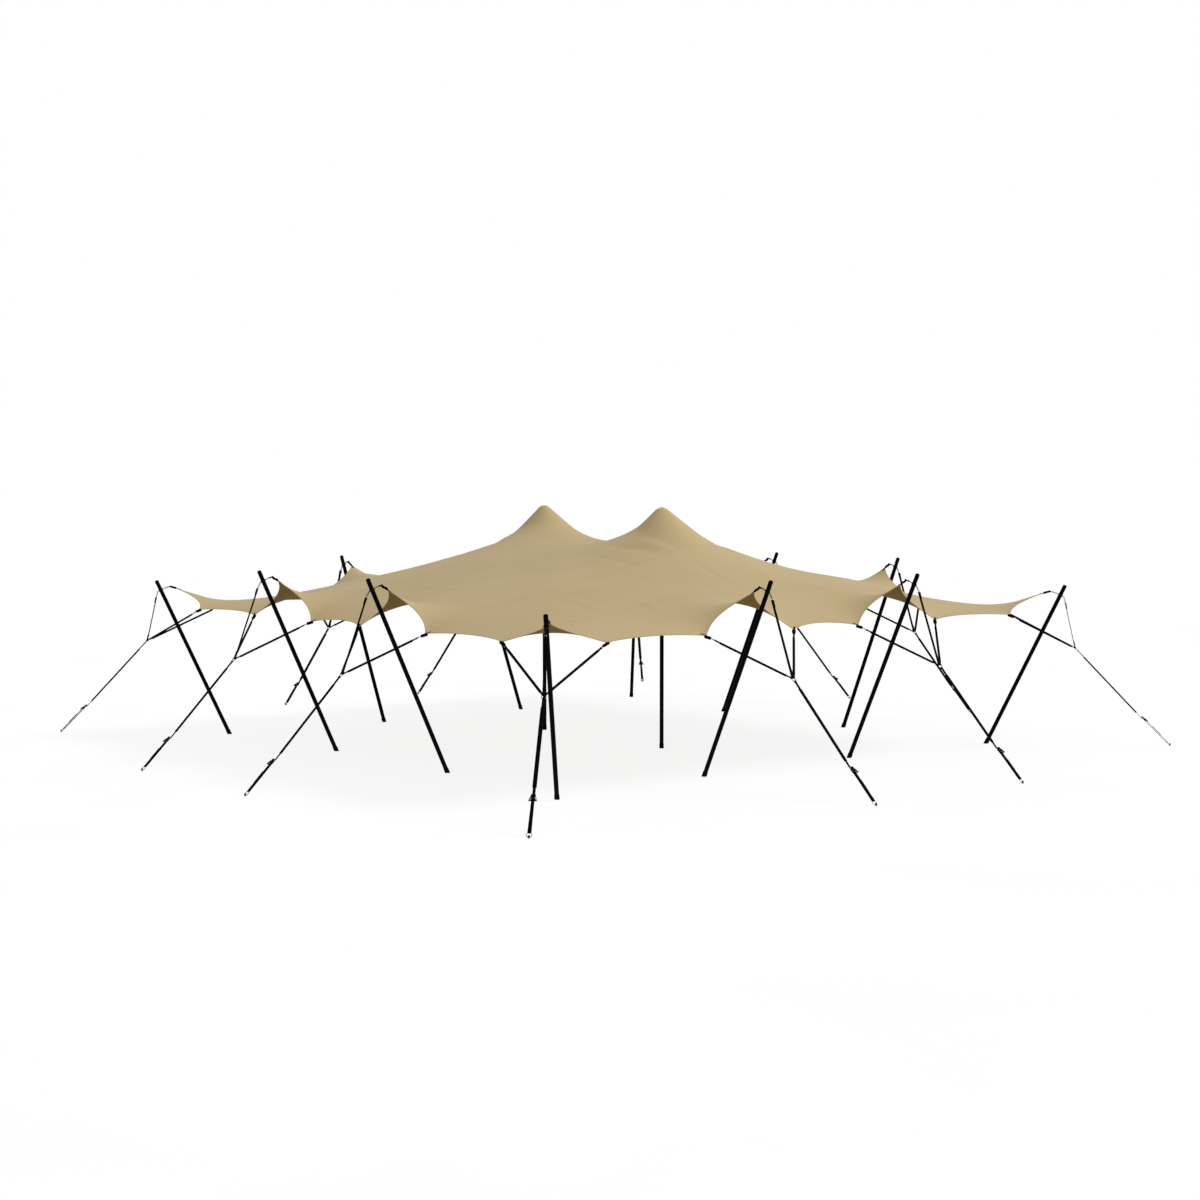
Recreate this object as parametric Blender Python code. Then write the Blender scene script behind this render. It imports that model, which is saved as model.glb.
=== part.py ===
"""Stretch tent, about ten metres square, on two king poles and twelve leaning poles.

Metres, +Z up, ground at z = 0, origin under the middle of the tent. The two king
poles stand along X. Each edge of the cloth is held by a pole at each corner and by
two poles between them. Every leaning pole has a bridle, which holds one high tip
and two low ears of the cloth, and a ground strap with a hand ratchet.
"""

import math

import bmesh
import bpy
import numpy as np
from mathutils import Matrix, Vector
from mathutils.bvhtree import BVHTree

# Plan of the tent
STATION_ALONG = 1.449  # edge poles and king poles, from the middle of an edge
CORNER_TIP = 4.835  # corner tips of the cloth, along each axis
EDGE_TIP_OUT = 4.967
EDGE_TIP_HEIGHT = 2.596
CORNER_TIP_HEIGHT = 2.331
EAR_OUT = 4.914
EAR_HEIGHT = 2.045
EAR_REACH = 0.81  # ear from its edge pole, along the edge
CORNER_EAR_ALONG = 3.969
PEAK_HEIGHT = 3.67
SADDLE_HEIGHT = 3.12

# Cloth
CLOTH_THICKNESS = 0.006
EDGE_PULL = 3.0  # pull of a hem cord against the pull of the cloth
SHORT_EDGE_PULL = 0.55  # the same on the short hems between a tip and its ears
SHORT_EDGES = ((1, 3), (5, 6))  # stations of the plan grid that they run between
HALF_PULL = 0.5
LIFT_SPREADS = (0.06, 0.25, 2.6)  # width of the push of a king pole's head
LIFT_SHARES = (0.46, 0.30, 0.24)
SADDLE_SPREAD = 0.45
PLAN_SPREAD = 1.2  # how widely the cloth is gathered towards the king poles
STEPS = 12  # mesh steps between two stations of the plan grid
HALF_STATIONS = 6
COARSE = 6
FINE_NEAR_KING = (1, 2, 4)

# Poles
POLE_RADIUS = 0.0285
POLE_SIDES = 10
FOOT_SLEEVE_RADIUS = 0.0325
FOOT_SLEEVE_LENGTH = 0.07
FOOT_SLEEVE_CHAMFER = 0.004
POLE_CAP_LENGTH = 0.03
POLE_CAP_RADII = (0.0245, 0.013)
BURIED = 0.08  # cut off level at the ground
KING_HEAD_RADIUS = 0.075
KING_HEAD_LENGTH = 0.16
KING_HEAD_RISE = 0.06  # height of the rounded top
KING_HEAD_TURNS = (-25, 0, 30, 60, 82)  # degrees round the rounded top
KING_NECK = 4  # profile points below the head
KING_SEAT = 0.0006

# Webbing and fittings
GAP = 0.0003
NOSE_GAP = 0.001  # leaves about 0.3 mm beside the slanting hem
COLLAR_BELOW_TOP = 0.17
COLLAR_WALL = 0.006
COLLAR_LENGTH = 0.032
DROP_WIDTH = 0.036
DROP_THICKNESS = 0.004
SLING_WIDTH = 0.026
SLING_THICKNESS = 0.005
LINK_WIDTH = 0.012
LINK_THICKNESS = 0.010
# Bridle points in the pole's plane, (out, up) from the collar's middle
INNER_LINK = ((-0.030, 0.009), (-0.094, 0.039))
SLING_START = ((-0.088, 0.036), (-0.130, 0.050))
OUTER_LINK = ((0.0325, -0.0045), (0.072, -0.030), (0.094, -0.095))
SLING_END = ((0.068, 0.050), (0.028, 0.032))  # from the nose at the cloth's tip
SLING_RISE = (0.2, 0.7)  # how the sling's nose turns up from the cloth's tip
STRAP_LAP = 0.012  # drop strap over the outer link
EAR_STRAP_WIDTH = 0.02
EAR_STRAP_THICKNESS = 0.004
TAB_LENGTH = 0.13
TAB_WIDTH = 0.034
TAB_STEP = 0.012
NOSE_WIDTH = 0.002
NOSE_LENGTH = 0.018
RING_RADIUS = 0.03
RING_WIRE = 0.006
STAKE_RING_RADIUS = 0.032
STAKE_RING_WIRE = 0.005
STAKE_RING_REACH = 0.036
STAKE_RING_RISE = 0.0085
STAKE_RADIUS = 0.013
STAKE_HEIGHT = 0.036

# Ratchet, measured along the strap
RATCHET_PIN_UP = 0.062  # spindle above the bolt
PLATE_OUT = 0.0205
PLATE_THICKNESS = 0.003
PLATE_DEPTH = 0.022
PLATE_END = 0.010
SPINDLE_RADIUS = 0.008
SPINDLE_HALF = 0.030
SPINDLE_HOLE = 0.0088
BOLT_RADIUS = 0.006
ARM_OUT = 0.0265
ARM_THICKNESS = 0.003
ARM_DEPTH = 0.022
GRIP_OUT = 0.050
GRIP_REACH = 0.086
GRIP_RADIUS = 0.008
ARM_TAIL = 0.0125  # arm past the spindle
ARM_BEND = 0.018  # arm from the spindle to where it flares
ARM_INSET = 0.004  # arm's end from the grip's end
BORE_MARGIN = 0.02
HANDLE_OPEN = math.radians(11)
DOUBLED_THICKNESS = 0.014  # two layers, held apart by the bolt and the ring

# Colours, roughness and metallic value of each material
FINISHES = {
    "cloth": ((0.50, 0.39, 0.22, 1.0), 0.85, 0.0),
    "pole_black": ((0.012, 0.012, 0.013, 1.0), 0.45, 0.3),
    "webbing_black": ((0.012, 0.012, 0.012, 1.0), 0.8, 0.0),
    "ratchet_black": ((0.02, 0.02, 0.021, 1.0), 0.4, 0.8),
}


class Station:
    """Where one leaning pole and its straps stand, in the plane through the pole.

    Points are (across, out, up): across the plane, outwards from the tent, and up.
    """

    def __init__(self, name, bearing, along, hem_turn, foot, top, tip, ears, ring, ratchet, stake):
        turn = Matrix.Rotation(math.radians(bearing), 4, "Z")
        self.name = name
        self.place = turn @ Matrix.Translation((along, 0.0, 0.0))
        self.foot = Vector((0.0, foot, 0.0))
        self.top = Vector((0.0, *top))
        self.tip = Vector((0.0, *tip))
        self.ears = [Vector((side * ears[0], ears[1], ears[2])) for side in (-1, 1)]
        self.hem_out = [Vector((side * math.sin(hem_turn), math.cos(hem_turn), 0)) for side in (-1, 1)]
        self.ring = Vector((0.0, *ring))
        self.ratchet = Vector((0.0, *ratchet))
        self.stake = Vector((0.0, stake, 0.0))

    def pole_axis(self):
        return (self.top - self.foot).normalized()

    def collar(self):
        return self.top - self.pole_axis() * COLLAR_BELOW_TOP

    def strap_axis(self):
        return (self.ring - self.stake).normalized()

    def strap_normal(self):
        return Vector((1, 0, 0)).cross(-self.strap_axis())

    def bolt(self):
        return self.stake + self.strap_axis() * (self.ratchet - self.stake).length

    def spindle(self):
        return self.bolt() + self.strap_axis() * RATCHET_PIN_UP


def edge_station(name, bearing, along):
    return Station(
        name, bearing, along, hem_turn=0.0,
        foot=3.99, top=(5.297, 2.768), tip=(EDGE_TIP_OUT, EDGE_TIP_HEIGHT),
        ears=(EAR_REACH, EAR_OUT, EAR_HEIGHT),
        ring=(5.728, 1.485), ratchet=(6.819, 0.39), stake=7.205,
    )


def corner_station(name, bearing):
    root = math.sqrt(2)
    return Station(
        name, bearing, 0.0, hem_turn=math.pi / 4,
        foot=4.246 * root, top=(5.08 * root, 2.469), tip=(CORNER_TIP * root, CORNER_TIP_HEIGHT),
        ears=((EAR_OUT - CORNER_EAR_ALONG) / root, (EAR_OUT + CORNER_EAR_ALONG) / root, EAR_HEIGHT),
        ring=(7.366, 1.479), ratchet=(8.429, 0.39), stake=8.80,
    )


def all_stations():
    """Two stations on each edge, then the four corners. Bearing 0 faces north, along +Y."""
    found = []
    for edge, bearing in (("north", 0), ("west", 90), ("south", 180), ("east", 270)):
        found.append(edge_station(edge + "_1", bearing, -STATION_ALONG))
        found.append(edge_station(edge + "_2", bearing, STATION_ALONG))
    for corner, bearing in (("north_west", 45), ("south_west", 135), ("south_east", 225), ("north_east", 315)):
        found.append(corner_station(corner, bearing))
    return found


def clear_scene():
    for obj in list(bpy.data.objects):
        bpy.data.objects.remove(obj, do_unlink=True)


def material(name):
    """The Principled material of this name, made the first time it is asked for."""
    found = bpy.data.materials.get(name)
    if found:
        return found
    colour, roughness, metallic = FINISHES[name]
    made = bpy.data.materials.new(name)
    made.use_nodes = True
    shader = made.node_tree.nodes["Principled BSDF"]
    shader.inputs["Base Color"].default_value = colour
    shader.inputs["Roughness"].default_value = roughness
    shader.inputs["Metallic"].default_value = metallic
    made.diffuse_color = colour
    return made


def mesh_of(name, bm, finish, smooth_angle=None):
    """A mesh from a bmesh, with its faces out and, where an angle is given, its round faces smooth."""
    bmesh.ops.recalc_face_normals(bm, faces=bm.faces)
    mesh = bpy.data.meshes.new(name)
    bm.to_mesh(mesh)
    bm.free()
    mesh.materials.append(material(finish))
    if smooth_angle:
        mesh.shade_smooth()
        mesh.set_sharp_from_angle(angle=math.radians(smooth_angle))
    return mesh


def place(name, mesh, matrix=None):
    obj = bpy.data.objects.new(name, mesh)
    bpy.context.scene.collection.objects.link(obj)
    if matrix is not None:
        obj.matrix_world = matrix
    return obj


def lathe(bm, profile, axis_matrix, sides):
    """A turned closed solid: profile is (radius, height) from the bottom to the top."""
    rings = []
    for radius, height in profile:
        ring = []
        for k in range(sides):
            angle = 2 * math.pi * (k + 0.5) / sides
            point = Vector((radius * math.cos(angle), radius * math.sin(angle), height))
            ring.append(bm.verts.new(axis_matrix @ point))
        rings.append(ring)
    for lower, upper in zip(rings, rings[1:]):
        for k in range(sides):
            following = (k + 1) % sides
            bm.faces.new((lower[k], lower[following], upper[following], upper[k]))
    bm.faces.new(list(reversed(rings[0])))
    bm.faces.new(rings[-1])


def tube(bm, inner, outer, length, axis_matrix, sides):
    """An open sleeve about the local Z axis, centred on the origin."""
    half = length / 2
    loop = [(inner, -half), (outer, -half), (outer, half), (inner, half)]
    columns = []
    for k in range(sides):
        angle = 2 * math.pi * (k + 0.5) / sides
        column = []
        for radius, height in loop:
            point = Vector((radius * math.cos(angle), radius * math.sin(angle), height))
            column.append(bm.verts.new(axis_matrix @ point))
        columns.append(column)
    for k in range(sides):
        this, following = columns[k], columns[(k + 1) % sides]
        for j in range(4):
            nearby = (j + 1) % 4
            bm.faces.new((this[j], following[j], following[nearby], this[nearby]))


def torus(bm, centre, axis, radius, wire, segments, sides, start):
    """A ring about an axis, whose first cross-section lies towards start."""
    axis = axis.normalized()
    first = (start - axis * start.dot(axis)).normalized()
    second = axis.cross(first)
    rings = []
    for k in range(segments):
        turn = 2 * math.pi * k / segments
        outwards = first * math.cos(turn) + second * math.sin(turn)
        ring = []
        for j in range(sides):
            angle = 2 * math.pi * j / sides
            offset = outwards * (radius + wire * math.cos(angle)) + axis * wire * math.sin(angle)
            ring.append(bm.verts.new(centre + offset))
        rings.append(ring)
    for k in range(segments):
        this, following = rings[k], rings[(k + 1) % segments]
        for j in range(sides):
            nearby = (j + 1) % sides
            bm.faces.new((this[j], this[nearby], following[nearby], following[j]))


def ribbon(bm, points, widths, thickness, across):
    """A flat strap along points, as wide as widths says at each of them, across the given way."""
    if isinstance(widths, float):
        widths = [widths] * len(points)
    sections = []
    for k, (point, width) in enumerate(zip(points, widths)):
        before = points[max(k - 1, 0)]
        after = points[min(k + 1, len(points) - 1)]
        along = (after - before).normalized()
        side = (across - along * across.dot(along)).normalized()
        up = along.cross(side)
        half = side * width / 2
        rise = up * thickness / 2
        section = (point - half - rise, point + half - rise, point + half + rise, point - half + rise)
        sections.append([bm.verts.new(corner) for corner in section])
    for this, following in zip(sections, sections[1:]):
        for j in range(4):
            nearby = (j + 1) % 4
            bm.faces.new((this[j], this[nearby], following[nearby], following[j]))
    bm.faces.new(list(reversed(sections[0])))
    bm.faces.new(sections[-1])


def rod(bm, start, end, radius, sides, flat_side):
    """A plain round bar from start to end."""
    axis = (end - start).normalized()
    side = (flat_side - axis * flat_side.dot(axis)).normalized()
    matrix = Matrix((side, axis.cross(side), axis)).transposed().to_4x4()
    matrix.translation = start
    lathe(bm, [(radius, 0.0), (radius, (end - start).length)], matrix, sides)


def solid(build, *args):
    """A bmesh with one closed shape in it."""
    bm = bmesh.new()
    build(bm, *args)
    return bm


def fuse(name, shapes, finish, cuts=(), solver="EXACT", smooth_angle=40):
    """One mesh from overlapping closed shapes, with the cuts taken out of it."""
    body = place(name + "_body", mesh_of(name + "_body", shapes[0], finish))
    tools = [body]
    for operation, group in (("UNION", shapes[1:]), ("DIFFERENCE", cuts)):
        for k, bm in enumerate(group):
            tool = place(f"{name}_{operation}_{k}", mesh_of(name + "_tool", bm, finish))
            modifier = body.modifiers.new(tool.name, "BOOLEAN")
            modifier.operation = operation
            modifier.solver = solver
            modifier.object = tool
            tools.append(tool)
    bpy.context.view_layer.update()
    graph = bpy.context.evaluated_depsgraph_get()
    mesh = bpy.data.meshes.new_from_object(body.evaluated_get(graph))
    mesh.name = name
    for tool in tools:
        bpy.data.objects.remove(tool, do_unlink=True)
    mesh.shade_smooth()
    mesh.set_sharp_from_angle(angle=math.radians(smooth_angle))
    return mesh


def held_points():
    """The tips and ears of the cloth: station indices on the plan grid, and where they are."""
    held = {}
    corner = HALF_STATIONS
    for a in (-1, 1):
        for b in (-1, 1):
            held[(a * corner, b * corner)] = (a * CORNER_TIP, b * CORNER_TIP, CORNER_TIP_HEIGHT)
    along_edge = (
        (1, STATION_ALONG - EAR_REACH, EAR_OUT, EAR_HEIGHT),
        (2, STATION_ALONG, EDGE_TIP_OUT, EDGE_TIP_HEIGHT),
        (3, STATION_ALONG + EAR_REACH, EAR_OUT, EAR_HEIGHT),
        (5, CORNER_EAR_ALONG, EAR_OUT, EAR_HEIGHT),
    )
    for side in (-1, 1):
        for hand in (-1, 1):
            for index, along, out, height in along_edge:
                held[(hand * index, side * corner)] = (hand * along, side * out, height)
                held[(side * corner, hand * index)] = (side * out, hand * along, height)
    return held


def pulls(count):
    """How hard each mesh line pulls: one inside the cloth, more along the hem."""
    rows = np.ones((count - 1, count))
    rows[:, 0] = rows[:, -1] = HALF_PULL + EDGE_PULL * STEPS  # half a cell of cloth, and the cord
    middle = HALF_STATIONS * STEPS
    for near, far in SHORT_EDGES:
        for first, last in ((near, far), (-far, -near)):
            cells = slice(middle + first * STEPS, middle + last * STEPS)
            rows[cells, 0] = rows[cells, -1] = HALF_PULL + SHORT_EDGE_PULL * STEPS
    return rows, rows.T.copy()


def balance(rows, columns, free, load, start):
    """Positions at which the pulls of the mesh balance the load, by conjugate gradients."""

    def pull(position):
        total = np.zeros_like(position)
        along = rows[..., None] * (position[1:] - position[:-1])
        total[1:] += along
        total[:-1] -= along
        across = columns[..., None] * (position[:, 1:] - position[:, :-1])
        total[:, 1:] += across
        total[:, :-1] -= across
        return total * free

    weight = np.zeros(free.shape[:2])
    weight[1:] += rows
    weight[:-1] += rows
    weight[:, 1:] += columns
    weight[:, :-1] += columns
    weight = weight[..., None]
    position = start.copy()
    rest = load * free - pull(position)
    step = rest / weight
    direction = step
    size = (rest * step).sum(axis=(0, 1))
    target = size.max() * 1e-16
    while size.max() > target:
        image = pull(direction)
        share = size / np.maximum((direction * image).sum(axis=(0, 1)), 1e-300)
        position = position + share * direction
        rest = rest - share * image
        step = rest / weight
        renewed = (rest * step).sum(axis=(0, 1))
        direction = step + renewed / np.maximum(size, 1e-300) * direction
        size = renewed
    return position


def bump(plan, centre_x, spread):
    """A smooth round push around a point on the X axis."""
    square = (plan[..., 0] - centre_x) ** 2 + plan[..., 1] ** 2
    return np.exp(-square / (2 * spread * spread))


def cloth_surface():
    """The cloth's upper surface as a grid of points: its hem hangs between the tips and ears."""
    half = HALF_STATIONS * STEPS
    count = 2 * half + 1
    free = np.ones((count, count, 1))
    start = np.zeros((count, count, 3))
    for (i, j), point in held_points().items():
        start[half + i * STEPS, half + j * STEPS] = point
        free[half + i * STEPS, half + j * STEPS] = 0.0
    rows, columns = pulls(count)
    surface = balance(rows, columns, free, np.zeros_like(start), start)
    king = half + 2 * STEPS
    gather = bump(surface, STATION_ALONG, PLAN_SPREAD) - bump(surface, -STATION_ALONG, PLAN_SPREAD)
    gather = balance(rows, columns, free, gather[..., None], np.zeros_like(gather[..., None]))[..., 0]
    surface[..., 0] += gather * (STATION_ALONG - surface[king, half, 0]) / gather[king, half]
    pushes = [bump(surface, -STATION_ALONG, s) + bump(surface, STATION_ALONG, s) for s in LIFT_SPREADS]
    pushes.append(bump(surface, 0.0, SADDLE_SPREAD))
    pushes = np.stack(pushes, axis=-1)
    rises = balance(rows, columns, free, pushes, np.zeros_like(pushes))
    lift = sum(share * rises[..., k] / rises[king, half, k] for k, share in enumerate(LIFT_SHARES))
    dip = rises[..., -1]
    known = np.array([[lift[king, half], dip[king, half]], [lift[half, half], dip[half, half]]])
    wanted = (PEAK_HEIGHT - surface[king, half, 2], SADDLE_HEIGHT - surface[half, half, 2])
    lift_share, dip_share = np.linalg.solve(known, wanted)
    surface[..., 2] += lift_share * lift + dip_share * dip
    return surface


def grid_lines(fine_at):
    """Mesh lines for the solid: a coarse step all over, and a fine one beside each king pole."""
    half = HALF_STATIONS * STEPS
    lines = set(range(-half, half + 1, COARSE))
    for middle in fine_at:
        for step in FINE_NEAR_KING:
            lines.update((middle - step, middle + step))
    return sorted(lines)


def build_canopy():
    """The cloth as one closed sheet, every cell split the same way above and below."""
    surface = cloth_surface()
    half = HALF_STATIONS * STEPS
    king = 2 * STEPS
    across = grid_lines((-king, king))
    along = grid_lines((0,))
    bm = bmesh.new()
    sheets = []
    for drop in (0.0, CLOTH_THICKNESS):
        grid = []
        for i in across:
            row = [Vector(surface[half + i, half + j]) - Vector((0, 0, drop)) for j in along]
            grid.append([bm.verts.new(point) for point in row])
        sheets.append(grid)
    for i in range(len(across) - 1):
        for j in range(len(along) - 1):
            same_sign = (across[i] + across[i + 1]) * (along[j] + along[j + 1]) > 0
            for grid in sheets:
                a, b, c, d = grid[i][j], grid[i + 1][j], grid[i + 1][j + 1], grid[i][j + 1]
                if same_sign:
                    bm.faces.new((a, b, c))
                    bm.faces.new((a, c, d))
                else:
                    bm.faces.new((a, b, d))
                    bm.faces.new((b, c, d))
    top, bottom = sheets
    rim = [(i, 0) for i in range(len(across))]
    rim += [(len(across) - 1, j) for j in range(1, len(along))]
    rim += [(i, len(along) - 1) for i in range(len(across) - 2, -1, -1)]
    rim += [(0, j) for j in range(len(along) - 2, 0, -1)]
    for (i, j), (k, m) in zip(rim, rim[1:] + rim[:1]):
        bm.faces.new((top[i][j], top[k][m], bottom[k][m]))
        bm.faces.new((top[i][j], bottom[k][m], bottom[i][j]))
    return place("canopy", mesh_of("canopy", bm, "cloth", smooth_angle=60))


def pole_profile(length):
    """A plain tube with a foot sleeve and a small rounded cap."""
    cap = POLE_CAP_LENGTH
    return [
        (FOOT_SLEEVE_RADIUS, -BURIED),
        (FOOT_SLEEVE_RADIUS, FOOT_SLEEVE_LENGTH),
        (POLE_RADIUS, FOOT_SLEEVE_LENGTH + FOOT_SLEEVE_CHAMFER),
        (POLE_RADIUS, length - cap),
        (POLE_CAP_RADII[0], length - cap * 0.4),
        (POLE_CAP_RADII[1], length),
    ]


def cut_at_ground(bm, matrix):
    """Takes away what lies below the ground and closes the cut with one level face."""
    inverse = matrix.inverted()
    normal = (inverse.to_3x3() @ Vector((0, 0, 1))).normalized()
    geometry = bm.verts[:] + bm.edges[:] + bm.faces[:]
    cut = bmesh.ops.bisect_plane(
        bm, geom=geometry, plane_co=inverse @ Vector((0, 0, 0)), plane_no=normal, clear_inner=True
    )
    edges = [item for item in cut["geom_cut"] if isinstance(item, bmesh.types.BMEdge)]
    bmesh.ops.edgeloop_fill(bm, edges=edges)


def build_leaning_pole(station, kind):
    axis = station.pole_axis()
    side = Vector((1, 0, 0))
    frame = Matrix((side, axis.cross(side), axis)).transposed().to_4x4()
    frame.translation = station.foot
    bm = bmesh.new()
    lathe(bm, pole_profile((station.top - station.foot).length), Matrix(), POLE_SIDES)
    cut_at_ground(bm, frame)
    name = f"{kind}_pole_{station.name}"
    return place(name, mesh_of(name, bm, "pole_black", smooth_angle=40), station.place @ frame)


def king_profile(height):
    """A plain tube with a foot sleeve and a wide rounded head under the cloth."""
    neck = height - KING_HEAD_LENGTH
    profile = [
        (FOOT_SLEEVE_RADIUS, 0.0),
        (FOOT_SLEEVE_RADIUS, FOOT_SLEEVE_LENGTH),
        (POLE_RADIUS, FOOT_SLEEVE_LENGTH + FOOT_SLEEVE_CHAMFER),
        (POLE_RADIUS, neck),
    ]
    full = math.sin(math.radians(KING_HEAD_TURNS[-1]))
    for degrees in KING_HEAD_TURNS:
        turn = math.radians(degrees)
        level = height + KING_HEAD_RISE * (math.sin(turn) / full - 1)
        profile.append((KING_HEAD_RADIUS * math.cos(turn), level))
    return profile


def build_king_pole(name, x, canopy_tree):
    """A king pole whose head is seated under the cloth, a hair below its lowest point there."""
    profile = king_profile(PEAK_HEIGHT)
    room = PEAK_HEIGHT
    for radius, height in profile[KING_NECK:]:
        for k in range(POLE_SIDES):
            angle = 2 * math.pi * (k + 0.5) / POLE_SIDES
            under = Vector((x + radius * math.cos(angle), radius * math.sin(angle), 1.0))
            hit = canopy_tree.ray_cast(under, Vector((0, 0, 1)))[0]
            room = min(room, hit.z - height)
    bm = bmesh.new()
    lathe(bm, king_profile(PEAK_HEIGHT + room - KING_SEAT), Matrix(), POLE_SIDES)
    return place(name, mesh_of(name, bm, "pole_black", smooth_angle=40), Matrix.Translation((x, 0, 0)))


def nose_point(corner, towards):
    """Where a strap ends just clear of the cloth's corner, on its way towards the strap."""
    below = corner - Vector((0, 0, CLOTH_THICKNESS))
    reach = max(0.0, (below - corner).dot(towards))
    middle = (corner + below) / 2
    ahead = (corner - middle).dot(towards)
    return middle + towards * (ahead + reach + NOSE_GAP)


def strap_to_corner(bm, start, corner, outwards, across):
    """An ear strap: webbing from the ring, then a wider tab with a slim nose square to the hem."""
    aim = ((start - corner).normalized() + outwards).normalized()
    nose = nose_point(corner, aim)
    neck = nose + aim * NOSE_LENGTH
    along = (neck - start).normalized()
    tab = neck - along * TAB_LENGTH
    points = [start, tab, tab + along * TAB_STEP, neck - along * NOSE_LENGTH, neck, nose]
    widths = [EAR_STRAP_WIDTH, EAR_STRAP_WIDTH, TAB_WIDTH, TAB_WIDTH, 2 * NOSE_WIDTH, NOSE_WIDTH]
    ribbon(bm, points, widths, EAR_STRAP_THICKNESS, across)


def build_bridle_mesh(station):
    """Collar on the pole, sling to the tip, drop strap to the ring, and both ear straps."""
    across = Vector((1, 0, 0))
    axis = station.pole_axis()
    collar = station.collar()
    frame = Matrix((across, axis.cross(across), axis)).transposed().to_4x4()
    frame.translation = collar
    wall = POLE_RADIUS + GAP
    shapes = [solid(tube, wall, wall + COLLAR_WALL, COLLAR_LENGTH, frame, POLE_SIDES)]
    up = station.strap_axis()
    face = station.strap_normal()
    shapes.append(solid(torus, station.ring, face, RING_RADIUS, RING_WIRE, 8, 4, up))
    link = [collar + Vector((0, *point)) for point in INNER_LINK]
    shapes.append(solid(ribbon, link, LINK_WIDTH, LINK_THICKNESS, across))
    arrive = (link[-1] - station.tip).normalized()
    nose = nose_point(station.tip, (arrive + Vector((0, *SLING_RISE))).normalized())
    sling = [collar + Vector((0, *point)) for point in SLING_START]
    sling += [nose + Vector((0, *point)) for point in SLING_END]
    sling.append(nose)
    sling_widths = [SLING_WIDTH] * 4 + [NOSE_WIDTH]
    shapes.append(solid(ribbon, sling, sling_widths, SLING_THICKNESS, across))
    link = [collar + Vector((0, *point)) for point in OUTER_LINK]
    shapes.append(solid(ribbon, link, LINK_WIDTH, LINK_THICKNESS, across))
    hang = link[-1]
    ring_top = station.ring + up * RING_RADIUS
    down = (ring_top - hang).normalized()
    drop = [hang - down * STRAP_LAP, ring_top + down * RING_WIRE / 2]
    shapes.append(solid(ribbon, drop, DROP_WIDTH, DROP_THICKNESS, across))
    for ear, outwards in zip(station.ears, station.hem_out):
        out = ear - station.ring
        reach = (out - face * out.dot(face)).normalized()
        start = station.ring + reach * RING_RADIUS
        shapes.append(solid(strap_to_corner, start, ear, outwards, face.cross(reach)))
    return fuse("bridle", shapes, "webbing_black")


def build_ground_strap_mesh(station):
    """Webbing from the bridle's ring through the ratchet's frame to the ring on the stake."""
    across = Vector((1, 0, 0))
    up = station.strap_axis()
    normal = station.strap_normal()
    spindle = station.spindle()
    bolt = station.bolt()
    ring = station.stake + up * STAKE_RING_REACH + Vector((0, 0, STAKE_RING_RISE))
    top = station.ring - up * (RING_RADIUS + RING_WIRE + GAP)
    shapes = [solid(ribbon, [spindle, top], DROP_WIDTH, DROP_THICKNESS, across)]
    ring_top = ring + up * STAKE_RING_RADIUS
    shapes.append(solid(ribbon, [ring_top, bolt], DROP_WIDTH, DOUBLED_THICKNESS, across))
    for side in (-1, 1):
        shift = across * side * PLATE_OUT
        ends = [bolt - up * PLATE_END + shift, spindle + up * PLATE_END + shift]
        shapes.append(solid(ribbon, ends, PLATE_DEPTH, PLATE_THICKNESS, normal))
    plate_edge = PLATE_OUT + PLATE_THICKNESS
    half = across * plate_edge
    shapes.append(solid(rod, bolt - half, bolt + half, BOLT_RADIUS, 8, normal))
    half = across * SPINDLE_HALF
    shapes.append(solid(rod, spindle - half, spindle + half, SPINDLE_RADIUS, 8, normal))
    shapes.append(solid(torus, ring, normal, STAKE_RING_RADIUS, STAKE_RING_WIRE, 8, 4, up))
    head = station.stake + Vector((0, 0, STAKE_HEIGHT))
    shapes.append(solid(rod, station.stake, head, STAKE_RADIUS, 8, across))
    # The exact solver leaves holes beside the rods
    return fuse("ground_strap", shapes, "webbing_black", solver="MANIFOLD")


def build_handle_mesh():
    """The ratchet's handle in its own frame: hinge along X, arms along -Y, face up along Z."""
    across = Vector((1, 0, 0))
    grip = Vector((0, -GRIP_REACH, 0))
    up = Vector((0, 0, 1))
    bars = [solid(rod, grip - across * GRIP_OUT, grip + across * GRIP_OUT, GRIP_RADIUS, 8, up)]
    for side in (-1, 1):
        path = [
            Vector((side * ARM_OUT, ARM_TAIL, 0)),
            Vector((side * ARM_OUT, -ARM_BEND, 0)),
            Vector((side * (GRIP_OUT - ARM_INSET), -GRIP_REACH, 0)),
        ]
        bars.append(solid(ribbon, path, ARM_DEPTH, ARM_THICKNESS, up))
    reach = across * (ARM_OUT + BORE_MARGIN)
    hole = solid(rod, -reach, reach, SPINDLE_HOLE, 8, up)
    return fuse("ratchet_handle", bars, "ratchet_black", cuts=[hole])


def build_handle(station, mesh):
    """A handle on its spindle, shut down over its frame but for the room that the strap takes."""
    up = station.strap_axis()
    normal = station.strap_normal()
    frame = Matrix((Vector((-1, 0, 0)), up, normal)).transposed().to_4x4()
    frame.translation = station.spindle()
    open_turn = Matrix.Rotation(-HANDLE_OPEN, 4, "X")
    return place("ratchet_handle_" + station.name, mesh, station.place @ frame @ open_turn)


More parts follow.
